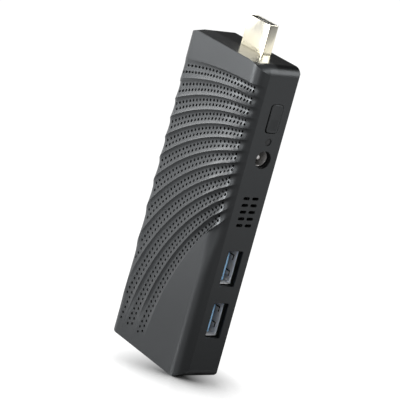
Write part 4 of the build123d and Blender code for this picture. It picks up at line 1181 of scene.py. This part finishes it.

# Floor: painted contact shadow at the object's front right corner, and glow in reflections, which
# is less near the object and in front of that corner, as painted shade
FLOOR_SHADE_REACH, FLOOR_SHADE = 26, (0.6, 0.97)
FLOOR_SHADE_CORNER, FLOOR_SHADE_SPREAD = (SIDE_X, -CASE_THICKNESS / 2, 0), (6.0, 30.0)
FLOOR_MIRROR_RANGE, FLOOR_MIRROR_GLOW, FLOOR_MIRROR_REST = (60.0, 250.0), 0.9, 0.12
FLOOR_DARK_AZIMUTH, FLOOR_DARK_LEAN, FLOOR_DARK_GLOW = 50, (0.3, 0.8), 0.3

# Strength of the wall and of the ceiling, and the heights between which one turns into the other
WALL_LIGHT, CEILING_LIGHT, WALL_TOP = 0.4, 0.08, (0.02, 0.08)


def direction(azimuth, elevation):
    """Unit vector; azimuth 0 is the front and 90 the port side."""
    a, e = math.radians(azimuth), math.radians(elevation)
    return Vector((math.sin(a) * math.cos(e), -math.cos(a) * math.cos(e), math.sin(e)))


def aim(obj, way, distance, target):
    """Puts a lamp or camera at a distance from a target, looking back at it."""
    bpy.context.collection.objects.link(obj)
    obj.location = (Vector(target) + way * distance) * MM
    obj.rotation_mode = "QUATERNION"
    obj.rotation_quaternion = (-way).to_track_quat("-Z", "Y")


def floor_finish():
    """White floor whose glow, for the camera and for reflections, is lowered near the object's
    foot: a painted contact shadow, and painted shade in reflections.
    """
    f = Finish("white_floor", (0.08, 0.08, 0.08), roughness=0.15)
    f.set("Emission Color", (1, 1, 1, 1))
    rays = f.tree.nodes.new("ShaderNodeLightPath").outputs
    reach = f.vectors("LENGTH")
    lean = f.maths("DIVIDE", f.vectors("DOT_PRODUCT", direction(FLOOR_DARK_AZIMUTH, 0)), reach)
    # Painted shade in reflections: the glow that reflections show is lower near the object and
    # towards the front right.
    far = f.ranged(reach, FLOOR_MIRROR_REST, 1, *[d * MM for d in FLOOR_MIRROR_RANGE])
    far = f.times(far, f.ranged(lean, 1, FLOOR_DARK_GLOW, *FLOOR_DARK_LEAN))
    mirrored = f.maths("MAXIMUM", rays["Is Glossy Ray"], rays["Is Transmission Ray"])
    mirrored = f.times(f.times(mirrored, FLOOR_MIRROR_GLOW), far)
    # Painted contact shadow: the glow is lowered where the floor is occluded, near the object's
    # front right corner.
    open_sky = f.add("AmbientOcclusion", {"Distance": FLOOR_SHADE_REACH * MM}, "AO")
    away = f.ramp(f.vectors("DISTANCE", [c * MM for c in FLOOR_SHADE_CORNER]), *FLOOR_SHADE_SPREAD)
    outside_painted_shadow = f.maths("MAXIMUM", f.ranged(open_sky, 0, 1, *FLOOR_SHADE), away)
    seen = f.maths("MAXIMUM", rays["Is Camera Ray"], mirrored)
    f.set("Emission Strength", f.times(seen, outside_painted_shadow))
    return f.material


class STICK_OT_stage(bpy.types.Operator):
    """Floor, light and the camera at the photograph's angle"""
    bl_idname = "stick.stage"
    bl_label = "Stage"

    def execute(self, context):
        context.scene.view_settings.view_transform = "Standard"
        self.camera(context)
        self.world(context)
        self.floor()
        for name, azimuth, elevation, distance, size, power, height in SOFTBOXES:
            lamp = bpy.data.lights.new(name, "AREA")
            lamp.shape = "DISK"
            lamp.size = size * MM
            lamp.energy = power
            aim(bpy.data.objects.new(name, lamp), direction(azimuth, elevation), distance,
                (0, 0, height))
        return {"FINISHED"}

    def camera(self, context):
        data = bpy.data.cameras.new("camera")
        data.sensor_width = 36
        data.lens = CAMERA_LENS
        data.clip_start, data.clip_end = 0.01, 20
        camera = bpy.data.objects.new("camera", data)
        aim(camera, direction(CAMERA_AZIMUTH, CAMERA_ELEVATION), CAMERA_DISTANCE, CAMERA_AIM)
        roll = Matrix.Rotation(math.radians(CAMERA_ROLL), 3, "Z").to_quaternion()
        camera.rotation_quaternion = camera.rotation_quaternion @ roll
        context.scene.camera = camera

    def world(self, context):
        """Pale wall round the horizon under a dim ceiling."""
        world = bpy.data.worlds.new("studio")
        context.scene.world = world
        world.use_nodes = True
        tree = world.node_tree
        way = add_node(tree, "TexCoord", {}, "Generated")
        height = add_node(tree, "SeparateXYZ", {0: way}, "Z")
        inputs = range_inputs(height, WALL_LIGHT, CEILING_LIGHT, *WALL_TOP)
        light = add_node(tree, "MapRange", inputs)
        background = tree.nodes["Background"].inputs
        join(tree, light, background["Strength"])
        join(tree, (1, 1, 1, 1), background["Color"])

    def floor(self):
        clear_selection()
        bpy.ops.mesh.primitive_plane_add(size=8, location=(0, 0, 0))
        floor = settle()
        floor.name = floor.data.name = "floor"
        give(floor, floor_finish())


PIECES = (STICK_OT_front_cover, STICK_OT_housing, STICK_OT_button, STICK_OT_plug, STICK_OT_sockets,
          STICK_OT_jack, STICK_OT_electronics, STICK_OT_cooling, STICK_OT_stage)


class STICK_PT_panel(bpy.types.Panel):
    bl_label = "Media stick"
    bl_idname = "STICK_PT_panel"
    bl_space_type = "VIEW_3D"
    bl_region_type = "UI"
    bl_category = "Media stick"

    def draw(self, context):
        for group in (context.scene.stick_sizes, context.scene.stick_colours):
            for name in group.bl_rna.properties.keys():
                if name not in ("rna_type", "name"):
                    self.layout.prop(group, name)
        for piece in PIECES:
            self.layout.operator(piece.bl_idname)


CLASSES = (StickSizes, StickColours, *PIECES, STICK_PT_panel)


def register():
    for c in CLASSES:
        bpy.utils.register_class(c)
    bpy.types.Scene.stick_sizes = bpy.props.PointerProperty(type=StickSizes)
    bpy.types.Scene.stick_colours = bpy.props.PointerProperty(type=StickColours)


def unregister():
    del bpy.types.Scene.stick_sizes
    del bpy.types.Scene.stick_colours
    for c in reversed(CLASSES):
        bpy.utils.unregister_class(c)


def main():
    register()
    for piece in PIECES:
        group, name = piece.bl_idname.split(".")
        getattr(getattr(bpy.ops, group), name)()


if __name__ == "__main__":
    main()
